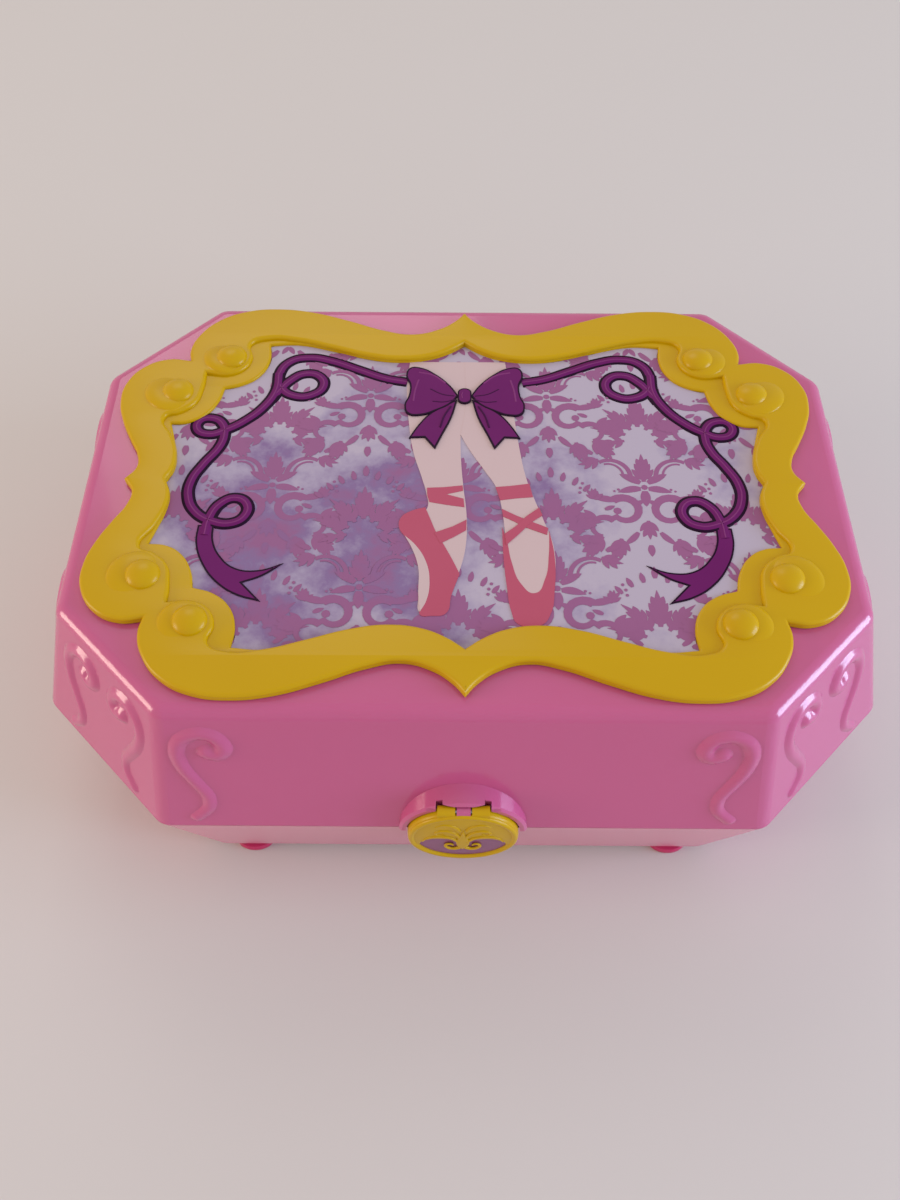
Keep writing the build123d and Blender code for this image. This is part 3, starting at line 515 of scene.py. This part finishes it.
# %% [markdown]
# ## The printed picture
# The panel is a printed sheet: a cloudy lilac ground, a damask pattern, and two legs in
# ballet shoes under a big bow whose ribbon loops down both sides. The ground is painted
# by noise in the material, which darkens into a mauve haze round one spot. The drawn
# shapes are thin layers of ink, each one a few hundredths of a millimetre above the last,
# so that their edges stay crisp close up.

# %% Ground of the picture
HAZE_SPOT, HAZE_NEAR, HAZE_FAR = (-0.024, -0.016, 0.0698), 0.012, 0.062
HAZE_GAIN, HAZE_LOSS = 0.11, -0.12
CLOUD_SCALE, CLOUD_STOPS = 34, (0.43, 0.5, 0.6, 0.68)


def ink(name, colours, rough=0.42, ground=False):
    """Printed colour under a thin varnish; ground lets four colours drift like cloud."""
    made = finish(name, colours[0], colours[1], rough, 0.016, 0.001, 0.02, specular=0.08)
    if not ground:
        return made
    nodes = made.node_tree.nodes
    link = made.node_tree.links.new
    spot = nodes["Texture Coordinate"]
    cloud = nodes.new("ShaderNodeTexNoise")
    cloud.inputs["Scale"].default_value = CLOUD_SCALE
    cloud.inputs["Detail"].default_value = 6
    cloud.inputs["Roughness"].default_value = 0.6
    link(spot.outputs["Object"], cloud.inputs["Vector"])
    away = nodes.new("ShaderNodeVectorMath")
    away.operation = "DISTANCE"
    away.inputs[1].default_value = HAZE_SPOT
    link(spot.outputs["Object"], away.inputs[0])
    near = nodes.new("ShaderNodeMapRange")
    near.inputs["From Min"].default_value = HAZE_NEAR
    near.inputs["From Max"].default_value = HAZE_FAR
    near.inputs["To Min"].default_value = HAZE_GAIN
    near.inputs["To Max"].default_value = HAZE_LOSS
    link(away.outputs["Value"], near.inputs["Value"])
    total = nodes.new("ShaderNodeMath")
    total.operation = "ADD"
    link(cloud.outputs["Fac"], total.inputs[0])
    link(near.outputs["Result"], total.inputs[1])
    ramp = nodes.new("ShaderNodeValToRGB")
    stops = ramp.color_ramp
    stops.elements[0].position = CLOUD_STOPS[0]
    stops.elements[0].color = colours[0]
    stops.elements[1].position = CLOUD_STOPS[-1]
    stops.elements[1].color = colours[-1]
    for position, colour in zip(CLOUD_STOPS[1:3], colours[1:3]):
        stops.elements.new(position).color = colour
    link(total.outputs["Value"], ramp.inputs["Fac"])
    link(ramp.outputs["Color"], nodes["Principled BSDF"].inputs["Base Color"])
    return made


haze = [tint(184, 170, 186), tint(170, 155, 178), tint(136, 110, 150), tint(150, 98, 138)]
motif = [tint(154, 96, 136), tint(152, 96, 136), tint(150, 96, 136), tint(142, 100, 142)]
ground_ink = ink("ground_ink", haze, ground=True)
damask_ink = ink("damask_ink", motif, ground=True)
leg_ink = ink("leg_ink", [tint(207, 180, 180), tint(203, 176, 176)])
shoe_ink = ink("shoe_ink", [tint(187, 88, 111), tint(181, 82, 105)])
bow_ink = ink("bow_ink", [tint(113, 32, 101), tint(101, 24, 91)])
bow_light = ink("bow_light", [tint(134, 58, 116), tint(122, 50, 108)])
line_ink = ink("line_ink", [tint(38, 10, 38), tint(32, 8, 34)])
fold_ink = ink("fold_ink", [tint(70, 16, 66), tint(62, 14, 60)])
wear(ground_ink, frame["nodes"]["picture_panel"])

# %% [markdown]
# A damask is built from leaves, curls and beads that are mirrored about a middle line.
# Each outline comes from a short formula: a leaf from its length, width and bend, and a
# curl from an arc that thins to its tip. An acanthus frond is several leaves that fan out
# of one stem and overlap, which gives the notched edge that the plant is known for.

# %% Damask outlines
def leaf(x, y, turn, length, width, bend=0.0):
    """Smooth leaf from its root to its tip, bent to one side."""
    left, right = [], []
    for step in range(9):
        share = step / 8
        half = width / 2 * math.sin(math.pi * (0.14 + 0.85 * share)) ** 0.8
        sway = bend * length * share * share
        left.append((share * length, sway + half))
        right.append((share * length, sway - half))
    ca, sa = math.cos(math.radians(turn)), math.sin(math.radians(turn))
    return [(x + px * ca - py * sa, y + px * sa + py * ca) for px, py in left + right[::-1]]


def curl(x, y, radius, start, end, width, tip=0.3):
    """Arc that closes in and thins from its first end to its last."""
    outer, inner = [], []
    for step in range(15):
        share = step / 14
        turn = math.radians(start + (end - start) * share)
        reach = radius * (1 - 0.3 * share)
        half = width / 2 * (1 - (1 - tip) * share)
        outer.append((x + (reach + half) * math.cos(turn), y + (reach + half) * math.sin(turn)))
        inner.append((x + (reach - half) * math.cos(turn), y + (reach - half) * math.sin(turn)))
    return outer + inner[::-1]


def bead(x, y, radius=0.4):
    """Small round dot."""
    turns = [math.tau * step / 8 for step in range(8)]
    return [(x + radius * math.cos(turn), y + radius * math.sin(turn)) for turn in turns]


def frond(x, y, turn, length, width, bend=0.0, pairs=3):
    """Acanthus leaf: a slim middle leaf with smaller ones fanning out of both sides."""
    marks = [leaf(x, y, turn, length, 0.36 * width, bend)]
    ca, sa = math.cos(math.radians(turn)), math.sin(math.radians(turn))
    for number in range(pairs):
        share = 0.1 + 0.62 * number / pairs
        px, py = share * length, bend * length * share * share
        lean = math.degrees(math.atan(2 * bend * share))
        for hand in (1, -1):
            marks.append(leaf(x + px * ca - py * sa, y + px * sa + py * ca,
                              turn + lean + hand * (50 - 8 * number),
                              0.78 * width * (1 - 0.12 * number), 0.34 * width, -0.16 * hand))
    return marks


middle_marks = [
    *frond(0, 3.2, 90, 8.6, 5.0, 0, 3), bead(0, 1.5, 0.8), leaf(0, 0.4, -90, 4.6, 2.4),
    *frond(0, -8.4, -90, 5.4, 4.2, 0, 2), leaf(0, -15.4, -90, 3.2, 1.7),
    *frond(0, 20.6, 90, 9.6, 5.6, 0, 3), leaf(0, 33.4, 90, 3.2, 1.5),
]
side_marks = [
    leaf(0.9, 2.8, 36, 5.4, 2.1, -0.1), leaf(0.9, 1.0, 4, 5.4, 2.0, -0.25),
    leaf(0.8, -2.6, -34, 2.6, 1.3, 0.1), curl(5.3, -5.4, 3.9, 48, 330, 2.3, 0.6),
    bead(6.9, -5.6, 1.0), leaf(7.4, -2.5, 16, 5.2, 1.9, -0.1),
    *frond(11.8, -2.2, 66, 3.4, 3.0, 0.2, 2), curl(10.4, -10.6, 3.3, 140, -80, 1.8, 0.5),
    *frond(11.6, -8.2, 10, 6.2, 4.8, -0.25, 3), *frond(10.8, -13.0, -44, 7.4, 5.0, -0.2, 3),
    *frond(6.6, -13.6, -82, 6.2, 4.4, 0.2, 3), leaf(2.6, -11.8, -58, 4.8, 1.6, 0.2),
    curl(8.6, 5.4, 5.8, 200, 66, 1.2, 0.8), curl(8.8, 5.6, 4.2, 196, 84, 0.6, 0.9),
    *frond(10.4, 10.0, -30, 5.0, 3.8, 0.2, 2), leaf(11.6, 11.8, 34, 3.6, 1.5, -0.2),
    bead(3.4, 6.4, 0.4), bead(3.5, 5.2, 0.34), bead(6.2, 0.8, 0.36), bead(7.2, 0.3, 0.32),
    *frond(1.8, 19.6, 58, 9.2, 4.6, -0.2, 3), *frond(3.2, 18.0, 26, 8.6, 4.4, -0.2, 3),
    *frond(3.6, 16.0, -8, 6.6, 3.6, -0.2, 2), leaf(2.6, 32.2, 78, 2.8, 1.3),
    leaf(5.2, 31.0, 64, 2.8, 1.3), leaf(7.6, 29.2, 52, 2.6, 1.2), leaf(10.0, 26.8, 40, 2.6, 1.2),
    leaf(12.2, 23.8, 24, 2.6, 1.2), bead(14.6, 2.6), bead(15.2, 1.2), bead(15.4, -0.2),
]
motif_marks = middle_marks + side_marks + [[(-x, y) for x, y in mark] for mark in side_marks]

# %% [markdown]
# The motif repeats in columns, and every second column is dropped by half a repeat. Marks
# may run on under the frame, but not past it. Marks that overlap get levels of their own,
# a fraction of a micron apart, because two faces on one level would flicker.

# %% Damask over the whole panel
COLUMN_STEP, REPEAT, FIRST_COLUMN, ROW_SHIFT = 22.0, 58.0, 42.5, -2
REACH_X, REACH_Y, REACH_CORNER = 75, 46, 112
MARK_STEP = 0.0002


def inside_panel(x, y):
    """Keeps the pattern within the opening and a little way under the frame."""
    return (abs(x) < REACH_X and abs(y) < REACH_Y
            and abs(x) + 1.25 * abs(y) < REACH_CORNER)


def damask_marks():
    """Every mark of every repeat that stays inside, with the number of its level."""
    kept = []
    for column in range(-6, 3):
        for row in range(-2, 3):
            mid_x = FIRST_COLUMN + column * COLUMN_STEP
            mid_y = (row + 0.5 * (column % 2)) * REPEAT + ROW_SHIFT
            for number, mark in enumerate(motif_marks):
                placed = [(mid_x + x, mid_y + y) for x, y in mark]
                if all(inside_panel(x, y) for x, y in placed):
                    kept.append((number + len(motif_marks) * (column % 2), placed))
    return kept


def ink_layer(name, marks, level, material):
    """Flat printed marks in one mesh, each on a level of its own."""
    verts, faces = [], []
    for number, loop in marks:
        first = len(verts)
        height = level + MARK_STEP * number
        verts.extend(place(x, y, height) for x, y in loop)
        faces.append(tuple(range(first, first + len(loop))))
    mesh = bpy.data.meshes.new(name)
    mesh.from_pydata(verts, [], faces)
    made = bpy.data.objects.new(name, mesh)
    bpy.context.collection.objects.link(made)
    choose(made)
    bpy.ops.object.mode_set(mode="EDIT")
    bpy.ops.mesh.select_all(action="SELECT")
    bpy.ops.mesh.quads_convert_to_tris()
    bpy.ops.mesh.select_all(action="SELECT")
    bpy.ops.mesh.normals_make_consistent(inside=False)
    bpy.ops.object.mode_set(mode="OBJECT")
    for face in made.data.polygons:
        if face.normal.z < 0:
            face.flip()
    wear(material, made)
    return made


damask = ink_layer("damask_print", damask_marks(), PANEL_TOP + 0.02, damask_ink)
print("damask faces", len(damask.data.polygons))

# %% [markdown]
# ## Legs, shoes and crossed ribbons
# The two legs run down from the back edge of the frame to shoes that stand on their
# points. The shapes are layered: stocking first, then the shoe, then its laces, and last
# the light strip along one sole.

# %% Legs and shoes
left_leg = [(-14.0, 40.3), (-14.5, 30), (-13.8, 20), (-12.4, 10), (-10.2, 2), (-9.0, -3),
            (-8.7, -7), (-10.5, -9.5), (-12.6, -13.5), (-11.5, -19), (-10.3, -25), (-10.3, -32),
            (-9.6, -36.4), (-7.6, -36.2), (-5.0, -32), (-2.4, -28), (-0.7, -23), (0.3, -17),
            (0.4, -9), (-0.4, 0), (-0.9, 8), (-1.0, 15.6), (0.2, 25), (0, 40.3)]
right_leg = [(0, 40.3), (0.2, 25), (-1.0, 15.6), (1.4, 10.4), (4.8, 4.2), (7.4, -0.8),
             (8.6, -7), (9.2, -14), (9.6, -24), (10.8, -33), (14, -36.5), (18, -34), (20, -27),
             (20.2, -18), (18.2, -10.5), (16.2, -4), (14.6, 2), (13.4, 10), (12.2, 22),
             (11.2, 32), (10.4, 40.3)]
left_shoe = [(-9.2, -7.0), (-12.2, -8.0), (-14.6, -9.8), (-15.2, -12.6), (-13.6, -15.6),
             (-10.9, -19.0), (-8.9, -24.0), (-8.3, -30.0), (-9.0, -34.0), (-9.9, -36.6),
             (-7.2, -37.0), (-4.3, -36.4), (-3.0, -31.5), (-1.2, -25.8), (-3.0, -21.6),
             (-4.9, -17.6), (-6.6, -14.2), (-8.0, -10.4)]
right_shoe = [(8.6, -12.6), (8.7, -20), (9.3, -29), (10.1, -35.4), (11.6, -39.0), (16.6, -39.2),
              (18.7, -36.4), (19.9, -30), (20.3, -21), (19.4, -13.6), (19.0, -20.5),
              (17.9, -27.0), (15.4, -30.9), (12.6, -28.6), (10.5, -22.4), (9.6, -16.6)]
laces = [
    [(-8.9, -1.2), (-5, -1.0), (-0.5, -0.4), (-0.4, -2.0), (-4.4, -3.1), (-0.3, -4.4),
     (-0.1, -6.9), (-4.5, -6.2), (-8.3, -5.4), (-8.8, -3.4)],
    [(0.4, -10.6), (-2.8, -12.6), (-7.0, -14.4), (-5.6, -17.4), (-2.6, -15.6), (0.3, -13.6)],
    [(7.3, -0.9), (11, -0.5), (15.3, 0.2), (16.0, -3.8), (12.0, -4.2), (8.3, -4.8)],
    [(8.6, -7.4), (12, -9.4), (15.2, -11.0), (19.2, -12.9), (18.8, -14.8), (14.2, -12.8),
     (11.4, -11.0), (8.9, -9.6)],
    [(17.3, -7.0), (14.2, -9.6), (11.8, -12.4), (9.2, -14.6), (9.4, -17.8), (12.6, -14.4),
     (15.4, -11.2), (18.0, -9.2)],
]
sole_light = [(-13.8, -15.2), (-12.2, -18.4), (-10.5, -24), (-10.3, -31), (-9.9, -36.0),
              (-8.5, -33.0), (-7.9, -27.5), (-8.8, -22.5), (-11.2, -18.0)]


PRINT_ROOT, FIRST_LAYER, LAYER = PANEL_TOP - 0.1, PANEL_TOP + 0.1, 0.03


def print_shape(name, loops, layer, material, sharp=()):
    """Ink layer from curves, so that its edges flow."""
    made = cut_shape(name, loops, PRINT_ROOT, FIRST_LAYER + LAYER * layer, 0.0, sharp)
    wear(material, made)
    return made


prints = [damask]
prints.append(print_shape("left_leg_print", [left_leg], 1, leg_ink, [(0, 21, 23)]))
prints.append(print_shape("right_leg_print", [right_leg], 2, leg_ink, [(0, 2, 20)]))
prints.append(print_shape("left_shoe_print", [left_shoe], 3, shoe_ink, [(0, 13)]))
prints.append(print_shape("right_shoe_print", [right_shoe], 3, shoe_ink, [(0, 9)]))
for number, lace in enumerate(laces):
    prints.append(print_shape(f"lace_print_{number}", [lace], 4 + number, shoe_ink,
                              [range(len(lace))]))
prints.append(print_shape("sole_print", [sole_light], 3.6, leg_ink, [(0, 4)]))

# %% [markdown]
# ## Bow and ribbon
# The ribbon is drawn three times: a wide dark line, a narrower purple band over it, which
# leaves an even outline, and a thin light gleam along the middle. The dark line stops
# short where the ribbon widens into its tail, so that the two run together. The bow's
# wings, tails and knot are a dark shape with a smaller coloured one over it.

# %% Ribbon strands
ribbon_path = [(-14.5, 33.2), (-20, 34.4), (-27, 37.4), (-34, 40.4), (-40, 41.6), (-44.6, 40.2),
               (-47.0, 36.0), (-46.2, 31.0), (-42.6, 28.2), (-38.2, 28.6), (-35.6, 31.6),
               (-36.8, 35.0), (-40.6, 35.9), (-44.0, 33.6), (-46.6, 30.0), (-48.4, 26.6)]
ribbon_side = [(-47.2, 36.0), (-47.4, 30.0), (-49.8, 24.6), (-54.0, 19.8), (-58.6, 16.6),
               (-62.4, 15.2), (-65.4, 16.6), (-65.2, 19.6), (-62.0, 20.4), (-59.4, 18.4),
               (-58.7, 14.6), (-59.4, 11.2), (-62.6, 5.6), (-64.8, 0.6), (-64.9, -4.2),
               (-62.6, -8.8), (-58.6, -11.4), (-54.0, -12.0), (-51.0, -9.8), (-50.9, -6.4),
               (-53.6, -4.6), (-57.0, -6.2), (-59.2, -10.6), (-59.7, -15.4)]
ribbon_tail = [(-61.5, -12.6), (-61.4, -17.6), (-59.2, -23.6), (-55.4, -28.6), (-50.8, -31.8),
               (-45.0, -33.6), (-49.6, -28.6), (-45.4, -26.8), (-40.8, -23.2), (-46.6, -25.2),
               (-51.6, -24.6), (-55.4, -21.2), (-57.4, -17.0), (-57.8, -12.6)]
bow_wing = [(-1.6, 28.2), (-3.6, 31.6), (-7.4, 35.6), (-11.0, 37.8), (-13.8, 37.8), (-14.8, 35.2),
            (-13.8, 31.8), (-14.0, 28.2), (-15.0, 24.8), (-14.0, 22.0), (-11.0, 21.6),
            (-7.0, 23.2), (-3.4, 25.6)]
bow_tail = [(-1.8, 27.0), (-5.6, 24.6), (-9.0, 21.8), (-11.4, 18.4), (-13.6, 14.2), (-9.8, 14.4),
            (-7.2, 10.8), (-5.4, 15.4), (-3.2, 21.0)]
knot_loop = [(-1.2, 26.0), (-1.7, 28.2), (-1.2, 30.2), (1.2, 30.2), (1.7, 28.2), (1.2, 26.0)]


OUTLINE = 0.42
RIBBON_LAYERS = (("line", 3.3, 0.22, line_ink), ("band", 2.3, 0.3, bow_ink),
                 ("gleam", 0.6, 0.36, bow_light))
RIBBON_ROOT, CROSSING = PANEL_TOP - 0.2, 0.08


def outlined(name, points, layer, fill, sharp=(), rim=OUTLINE):
    """A dark shape with a slightly smaller coloured one over it."""
    dark = print_shape(name + "_line", [points], layer, line_ink, [sharp])
    data = bpy.data.curves.new(name, "CURVE")
    data.dimensions = "2D"
    data.fill_mode = "BOTH"
    trace_loop(data, points, sharp)
    data.offset = -rim * MM
    data.extrude = LAYER * MM
    made = bpy.data.objects.new(name, data)
    bpy.context.collection.objects.link(made)
    made.location = place(0, 0, FIRST_LAYER - 0.01 + LAYER * layer)
    choose(made)
    bpy.ops.object.convert(target="MESH")
    made = settle(bpy.context.object)
    wear(fill, made)
    return [dark, made]


fold_lines = [[(-2.6, 28.0), (-5.6, 28.6), (-8.6, 30.4)],
              [(-2.4, 26.9), (-5.0, 26.0), (-8.0, 26.2)],
              [(-3.4, 24.6), (-5.0, 21.4), (-6.0, 17.6)]]
gleams = [[(-4.8, 32.4), (-8.0, 35.2), (-11.6, 36.2)],
          [(-11.6, 33.6), (-12.4, 30.0), (-12.8, 26.2)]]
FOLD_WIDTH, FOLD_TOP, GLEAM_WIDTH, GLEAM_TOP = 0.6, 0.68, 0.9, 0.66
KNOT_OUTLINE, KNOT_GLEAM_WIDTH, KNOT_GLEAM_TOP = 0.34, 0.5, 0.8


def drawn_line(name, points, width, top, material):
    """Thin raised line of ink on a printed shape."""
    made = strand(name, points, width, PANEL_TOP, PANEL_TOP + top)
    wear(material, made)
    prints.append(made)


for hand in (1, -1):
    def side_of(points, hand=hand):
        return points if hand > 0 else mirrored(points)

    tag = "left" if hand > 0 else "right"
    for number, path in enumerate((ribbon_path, ribbon_side)):
        for kind, width, top, colour in RIBBON_LAYERS:
            shown = path[:-1] if kind == "line" and number == 1 else path
            made = strand(f"ribbon_{kind}_{tag}_{number}", side_of(shown), width, RIBBON_ROOT,
                          PANEL_TOP + top + CROSSING * number)
            wear(colour, made)
            prints.append(made)
    for name, outline, layer, sharp in (("ribbon_tail", ribbon_tail, 2, (0, 5, 6, 8, 13)),
                                        ("bow_tail", bow_tail, 13, (0, 4, 5, 6)),
                                        ("bow_wing", bow_wing, 16, (0,))):
        prints.extend(outlined(f"{name}_{tag}", side_of(outline), layer, bow_ink, sharp))
    for number, path in enumerate(fold_lines):
        drawn_line(f"bow_fold_{tag}_{number}", side_of(path), FOLD_WIDTH, FOLD_TOP, fold_ink)
    for number, path in enumerate(gleams):
        drawn_line(f"bow_gleam_{tag}_{number}", side_of(path), GLEAM_WIDTH, GLEAM_TOP, bow_light)
prints.extend(outlined("bow_knot", knot_loop, 20, bow_ink, rim=KNOT_OUTLINE))
drawn_line("bow_knot_gleam", [(-0.5, 29.2), (-0.7, 28.2), (-0.5, 27.2)], KNOT_GLEAM_WIDTH,
           KNOT_GLEAM_TOP, bow_light)
for printed in prints:
    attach(printed, "lid")
print("printed shapes", len(prints))

# %% [markdown]
# ## The clasp's face
# The clasp is a round medallion with a rounded rim, a purple enamel field shaped like a
# wide heart, and a small crest of curls above it. The solid model has the disc, its lugs
# and its pin. The rim, the field and the crest are drawn here on a board that stands
# upright on the disc, at the height of the seam.

# %% Clasp face
clasp_low, clasp_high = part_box("clasp_medallion")
INLAY_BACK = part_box("clasp_inlay")[1][1]
SEAM = clasp_low[2] / MM + (clasp_high[0] - clasp_low[0]) / 2 / MM
CLASP_STAND = (Matrix.Translation((0, INLAY_BACK, SEAM * MM))
               @ Matrix.Rotation(math.radians(90), 4, "X"))


def ring_points(radius, count=24):
    """Points of a circle about the middle of the clasp."""
    return [(radius * math.cos(math.tau * step / count), radius * math.sin(math.tau * step / count))
            for step in range(count)]


FIELD_RADIUS, FIELD_TOP, FIELD_RIM, ENAMEL_TOP, FACE_ROOT = 11.8, 0.5, 0.12, 0.22, -0.2
RIM_RADIUS, RIM_WIDTH, RIM_ROOT, RIM_TOP = 11.75, 1.5, -0.5, 0.8
BUD_TOP, CURL_ROOT, CURL_TOP = 0.8, 0.1, 0.85
heart = [(0, -4.4), (-1.6, -1.7), (-4.6, -0.5), (-7.9, -1.0), (-9.9, -3.6), (-8.6, -6.9),
         (-5.0, -9.9), (0, -11.0)]
heart = heart + [(-x, y) for x, y in heart[-2:0:-1]]
field = cut_shape("clasp_field", [ring_points(FIELD_RADIUS), heart], FACE_ROOT, FIELD_TOP,
                  FIELD_RIM, [(), (0,)], stand=CLASP_STAND)
enamel = cut_shape("clasp_enamel", [heart], FACE_ROOT, ENAMEL_TOP, 0.0, [(0,)],
                   stand=CLASP_STAND)
wear(purple_enamel, enamel)
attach(enamel, "clasp")
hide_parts("clasp_inlay")
rim_path = ring_points(RIM_RADIUS, 36)
rim = strand("clasp_rim", rim_path + rim_path[:1], RIM_WIDTH, RIM_ROOT, RIM_TOP,
             stand=CLASP_STAND)
bud = [(0, -6.4), (-1.2, -4.4), (-1.5, -1.6), (-0.7, 1.6), (0, 4.2), (0.7, 1.6), (1.5, -1.6),
       (1.2, -4.4)]
crest_bits = [field, rim, cut_shape("crest_bud", [bud], CURL_ROOT, BUD_TOP, 0.3, [(0, 4)],
                                    stand=CLASP_STAND)]
crest_curls = [
    ([(0.5, -5.4), (2.0, -6.2), (3.5, -5.6), (3.9, -4.2), (2.9, -3.4), (2.2, -4.2)], 0.9),
    ([(0.9, -2.0), (2.8, 0.2), (5.6, 1.0), (8.2, -0.2), (9.2, -1.8)], 0.9),
    ([(0.8, 1.0), (2.4, 3.4), (4.8, 4.2), (6.2, 3.0), (5.4, 1.9), (4.4, 2.5)], 0.9),
    ([(0.9, 4.6), (2.2, 6.8), (4.4, 7.6), (6.2, 6.4)], 1.0),
]
for number, (path, width) in enumerate(crest_curls):
    for hand in (1, -1):
        points = path if hand > 0 else mirrored(path)
        crest_bits.append(strand(f"crest_curl_{number}", points, width, CURL_ROOT, CURL_TOP,
                                 lambda share: 1.15 - 0.6 * share, CLASP_STAND))
crest = join("clasp_crest", *crest_bits)
wear(gold_paint, crest)
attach(crest, "clasp")
print("clasp faces", len(crest.data.polygons))

# %% [markdown]
# ## Foot pads
# Four soft rubber pads carry the box, and the front edges of two of them just show under
# the base. A pad is a short disc pulled wide, with rounded rims from the bevel of its
# outline.

# %% Foot pads
feet_low, feet_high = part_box("base_feet")
PAD_WIDE, PAD_DEEP, PAD_RIM = 5.6, 5.0, 0.5
PAD_OUT, PAD_FROM_BACK, PAD_FROM_FRONT = 0.8, 4.2, 3.5
pads = []
for hand_x in (1, -1):
    for hand_y in (1, -1):
        mid_x = hand_x * (feet_high[0] / MM - PAD_WIDE + PAD_OUT)
        mid_y = feet_high[1] / MM - PAD_FROM_BACK
        if hand_y < 0:
            mid_y = feet_low[1] / MM + PAD_FROM_FRONT
        round_pad = [(mid_x + PAD_WIDE * math.cos(math.tau * step / 16),
                      mid_y - MIDDLE_Y + PAD_DEEP * math.sin(math.tau * step / 16))
                     for step in range(16)]
        pads.append(cut_shape("pad", [round_pad], feet_low[2] / MM, feet_high[2] / MM, PAD_RIM))
foot_pads = join("foot_pads", *pads)
wear(pad_pink, foot_pads)
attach(foot_pads, "base")
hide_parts("base_feet")
print("pad faces", len(foot_pads.data.polygons))

# %% [markdown]
# ## The dancer's tutu
# A tutu is a stack of net frills gathered at the waist. Each frill is a round sheet
# whose edge waves up and down, so rings of points are laid by a formula, joined with
# faces, and given a little thickness.

# %% Tutu
tutu_low, tutu_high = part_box("dancer_tutu")
tutu_mid = (tutu_low + tutu_high) / 2
TUTU_RADIUS = (tutu_high[0] - tutu_low[0]) / 2
HUB_RADIUS, EDGE_ROOM, WAVE, NET_THICK = 0.0022, 0.0003, 0.00055, 0.00015
FIRST_FRILL, FRILL_STEP, DROOP = 0.0012, 0.0007, 0.0004


def frill(name, level, droop, pleats, shift):
    """One gathered net ring, waving more towards its edge."""
    around, rings = pleats * 8, 7
    verts, faces = [], []
    for ring in range(rings):
        share = ring / (rings - 1)
        reach = HUB_RADIUS + (TUTU_RADIUS - EDGE_ROOM - HUB_RADIUS) * share
        for step in range(around):
            turn = math.tau * step / around
            wave = math.sin(pleats * turn + shift) * WAVE * share
            verts.append((tutu_mid[0] + reach * math.cos(turn),
                          tutu_mid[1] + reach * math.sin(turn),
                          level - droop * share * share + wave))
    for ring in range(rings - 1):
        for step in range(around):
            ahead = (step + 1) % around
            faces.append((ring * around + step, (ring + 1) * around + step,
                          (ring + 1) * around + ahead, ring * around + ahead))
    mesh = bpy.data.meshes.new(name)
    mesh.from_pydata(verts, [], faces)
    made = bpy.data.objects.new(name, mesh)
    bpy.context.collection.objects.link(made)
    choose(made)
    thick = made.modifiers.new("net", "SOLIDIFY")
    thick.thickness = NET_THICK
    bpy.ops.object.modifier_apply(modifier="net")
    bpy.ops.object.shade_smooth()
    return made


frills = [frill(f"frill_{number}", tutu_low[2] + FIRST_FRILL + FRILL_STEP * number, DROOP,
                22 + 3 * number, 1.3 * number) for number in range(3)]
skirt = join("tulle_skirt", *frills)
wear(tulle, skirt)
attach(skirt, "turntable")
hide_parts("dancer_tutu")
print("skirt faces", len(skirt.data.polygons))

# %% [markdown]
# ## Floor, light and camera
# The box stands on a plain pale table, which is wide enough that its edge stays out of
# sight from the camera.

# %% Floor
floor_paint = finish("floor_paint", tint(205, 197, 192), tint(209, 201, 197), 0.6, 0.3, 0.004,
                     0.02, specular=0.2)
deselect()
bpy.ops.mesh.primitive_plane_add(size=14.0, location=(0, 0, 0))
floor = bpy.context.object
floor.name = "table_top"
wear(floor_paint, floor)

# %% [markdown]
# Light comes from all round, so that shadows stay faint. A warm window low on the left
# and a cool one on the right tint the slanting corners, and a third behind the box puts
# a soft shine on the frame. Each window is an area lamp, turned towards the box.

# %% Lamps and world
BOX_HEART = (0, 0, 0.03)


def lamp(name, spot, aim, size, power, colour=(1, 1, 1)):
    """Square area lamp at one place, turned to shine at another."""
    deselect()
    bpy.ops.object.light_add(type="AREA", location=spot)
    made = bpy.context.object
    made.name = name
    made.data.size = size
    made.data.energy = power
    made.data.color = colour
    turn = (Vector(aim) - Vector(spot)).to_track_quat("-Z", "Y")
    made.rotation_euler = turn.to_euler()
    return made


lamp("left_window", (-0.9, -0.2, 0.26), BOX_HEART, 0.4, 3.6, (1.0, 0.84, 0.68))
lamp("right_window", (0.9, -0.2, 0.24), BOX_HEART, 0.5, 8.4, (0.56, 0.72, 1.0))
lamp("back_window", (-0.2, 0.8, 0.9), BOX_HEART, 0.5, 1.6, (1.0, 0.98, 0.96))
world = bpy.data.worlds.new("day")
bpy.context.scene.world = world
world.use_nodes = True
sky = world.node_tree.nodes["Background"]
sky.inputs["Color"].default_value = (1.0, 0.97, 0.96, 1)
sky.inputs["Strength"].default_value = 0.69

# %% [markdown]
# The camera stands in front of the box and looks down at a little under sixty degrees.
# Its axes are written out from three angles: how far it looks down, a hair's turn to the
# side, and a slight roll, as a camera held by hand has.

# %% Camera
CAMERA_SPOT = place(-3.18, -166.1, 272.2)
PITCH, YAW, ROLL = math.radians(56.62), math.radians(-0.05), math.radians(0.35)
aim = Vector((math.sin(YAW) * math.cos(PITCH), math.cos(YAW) * math.cos(PITCH), -math.sin(PITCH)))
right = Vector((math.cos(YAW), -math.sin(YAW), 0))
up = right.cross(aim)
tilt_right = right * math.cos(ROLL) + up * math.sin(ROLL)
tilt_up = up * math.cos(ROLL) - right * math.sin(ROLL)
deselect()
bpy.ops.object.camera_add(location=(0, 0, 0))
camera = bpy.context.object
turn = Matrix((tilt_right, tilt_up, -aim)).transposed().to_4x4()
camera.matrix_world = Matrix.Translation(CAMERA_SPOT) @ turn
camera.data.sensor_fit = "VERTICAL"
camera.data.sensor_height = 36
camera.data.lens = 33.0
bpy.context.scene.camera = camera
bpy.context.scene.view_settings.view_transform = "Standard"
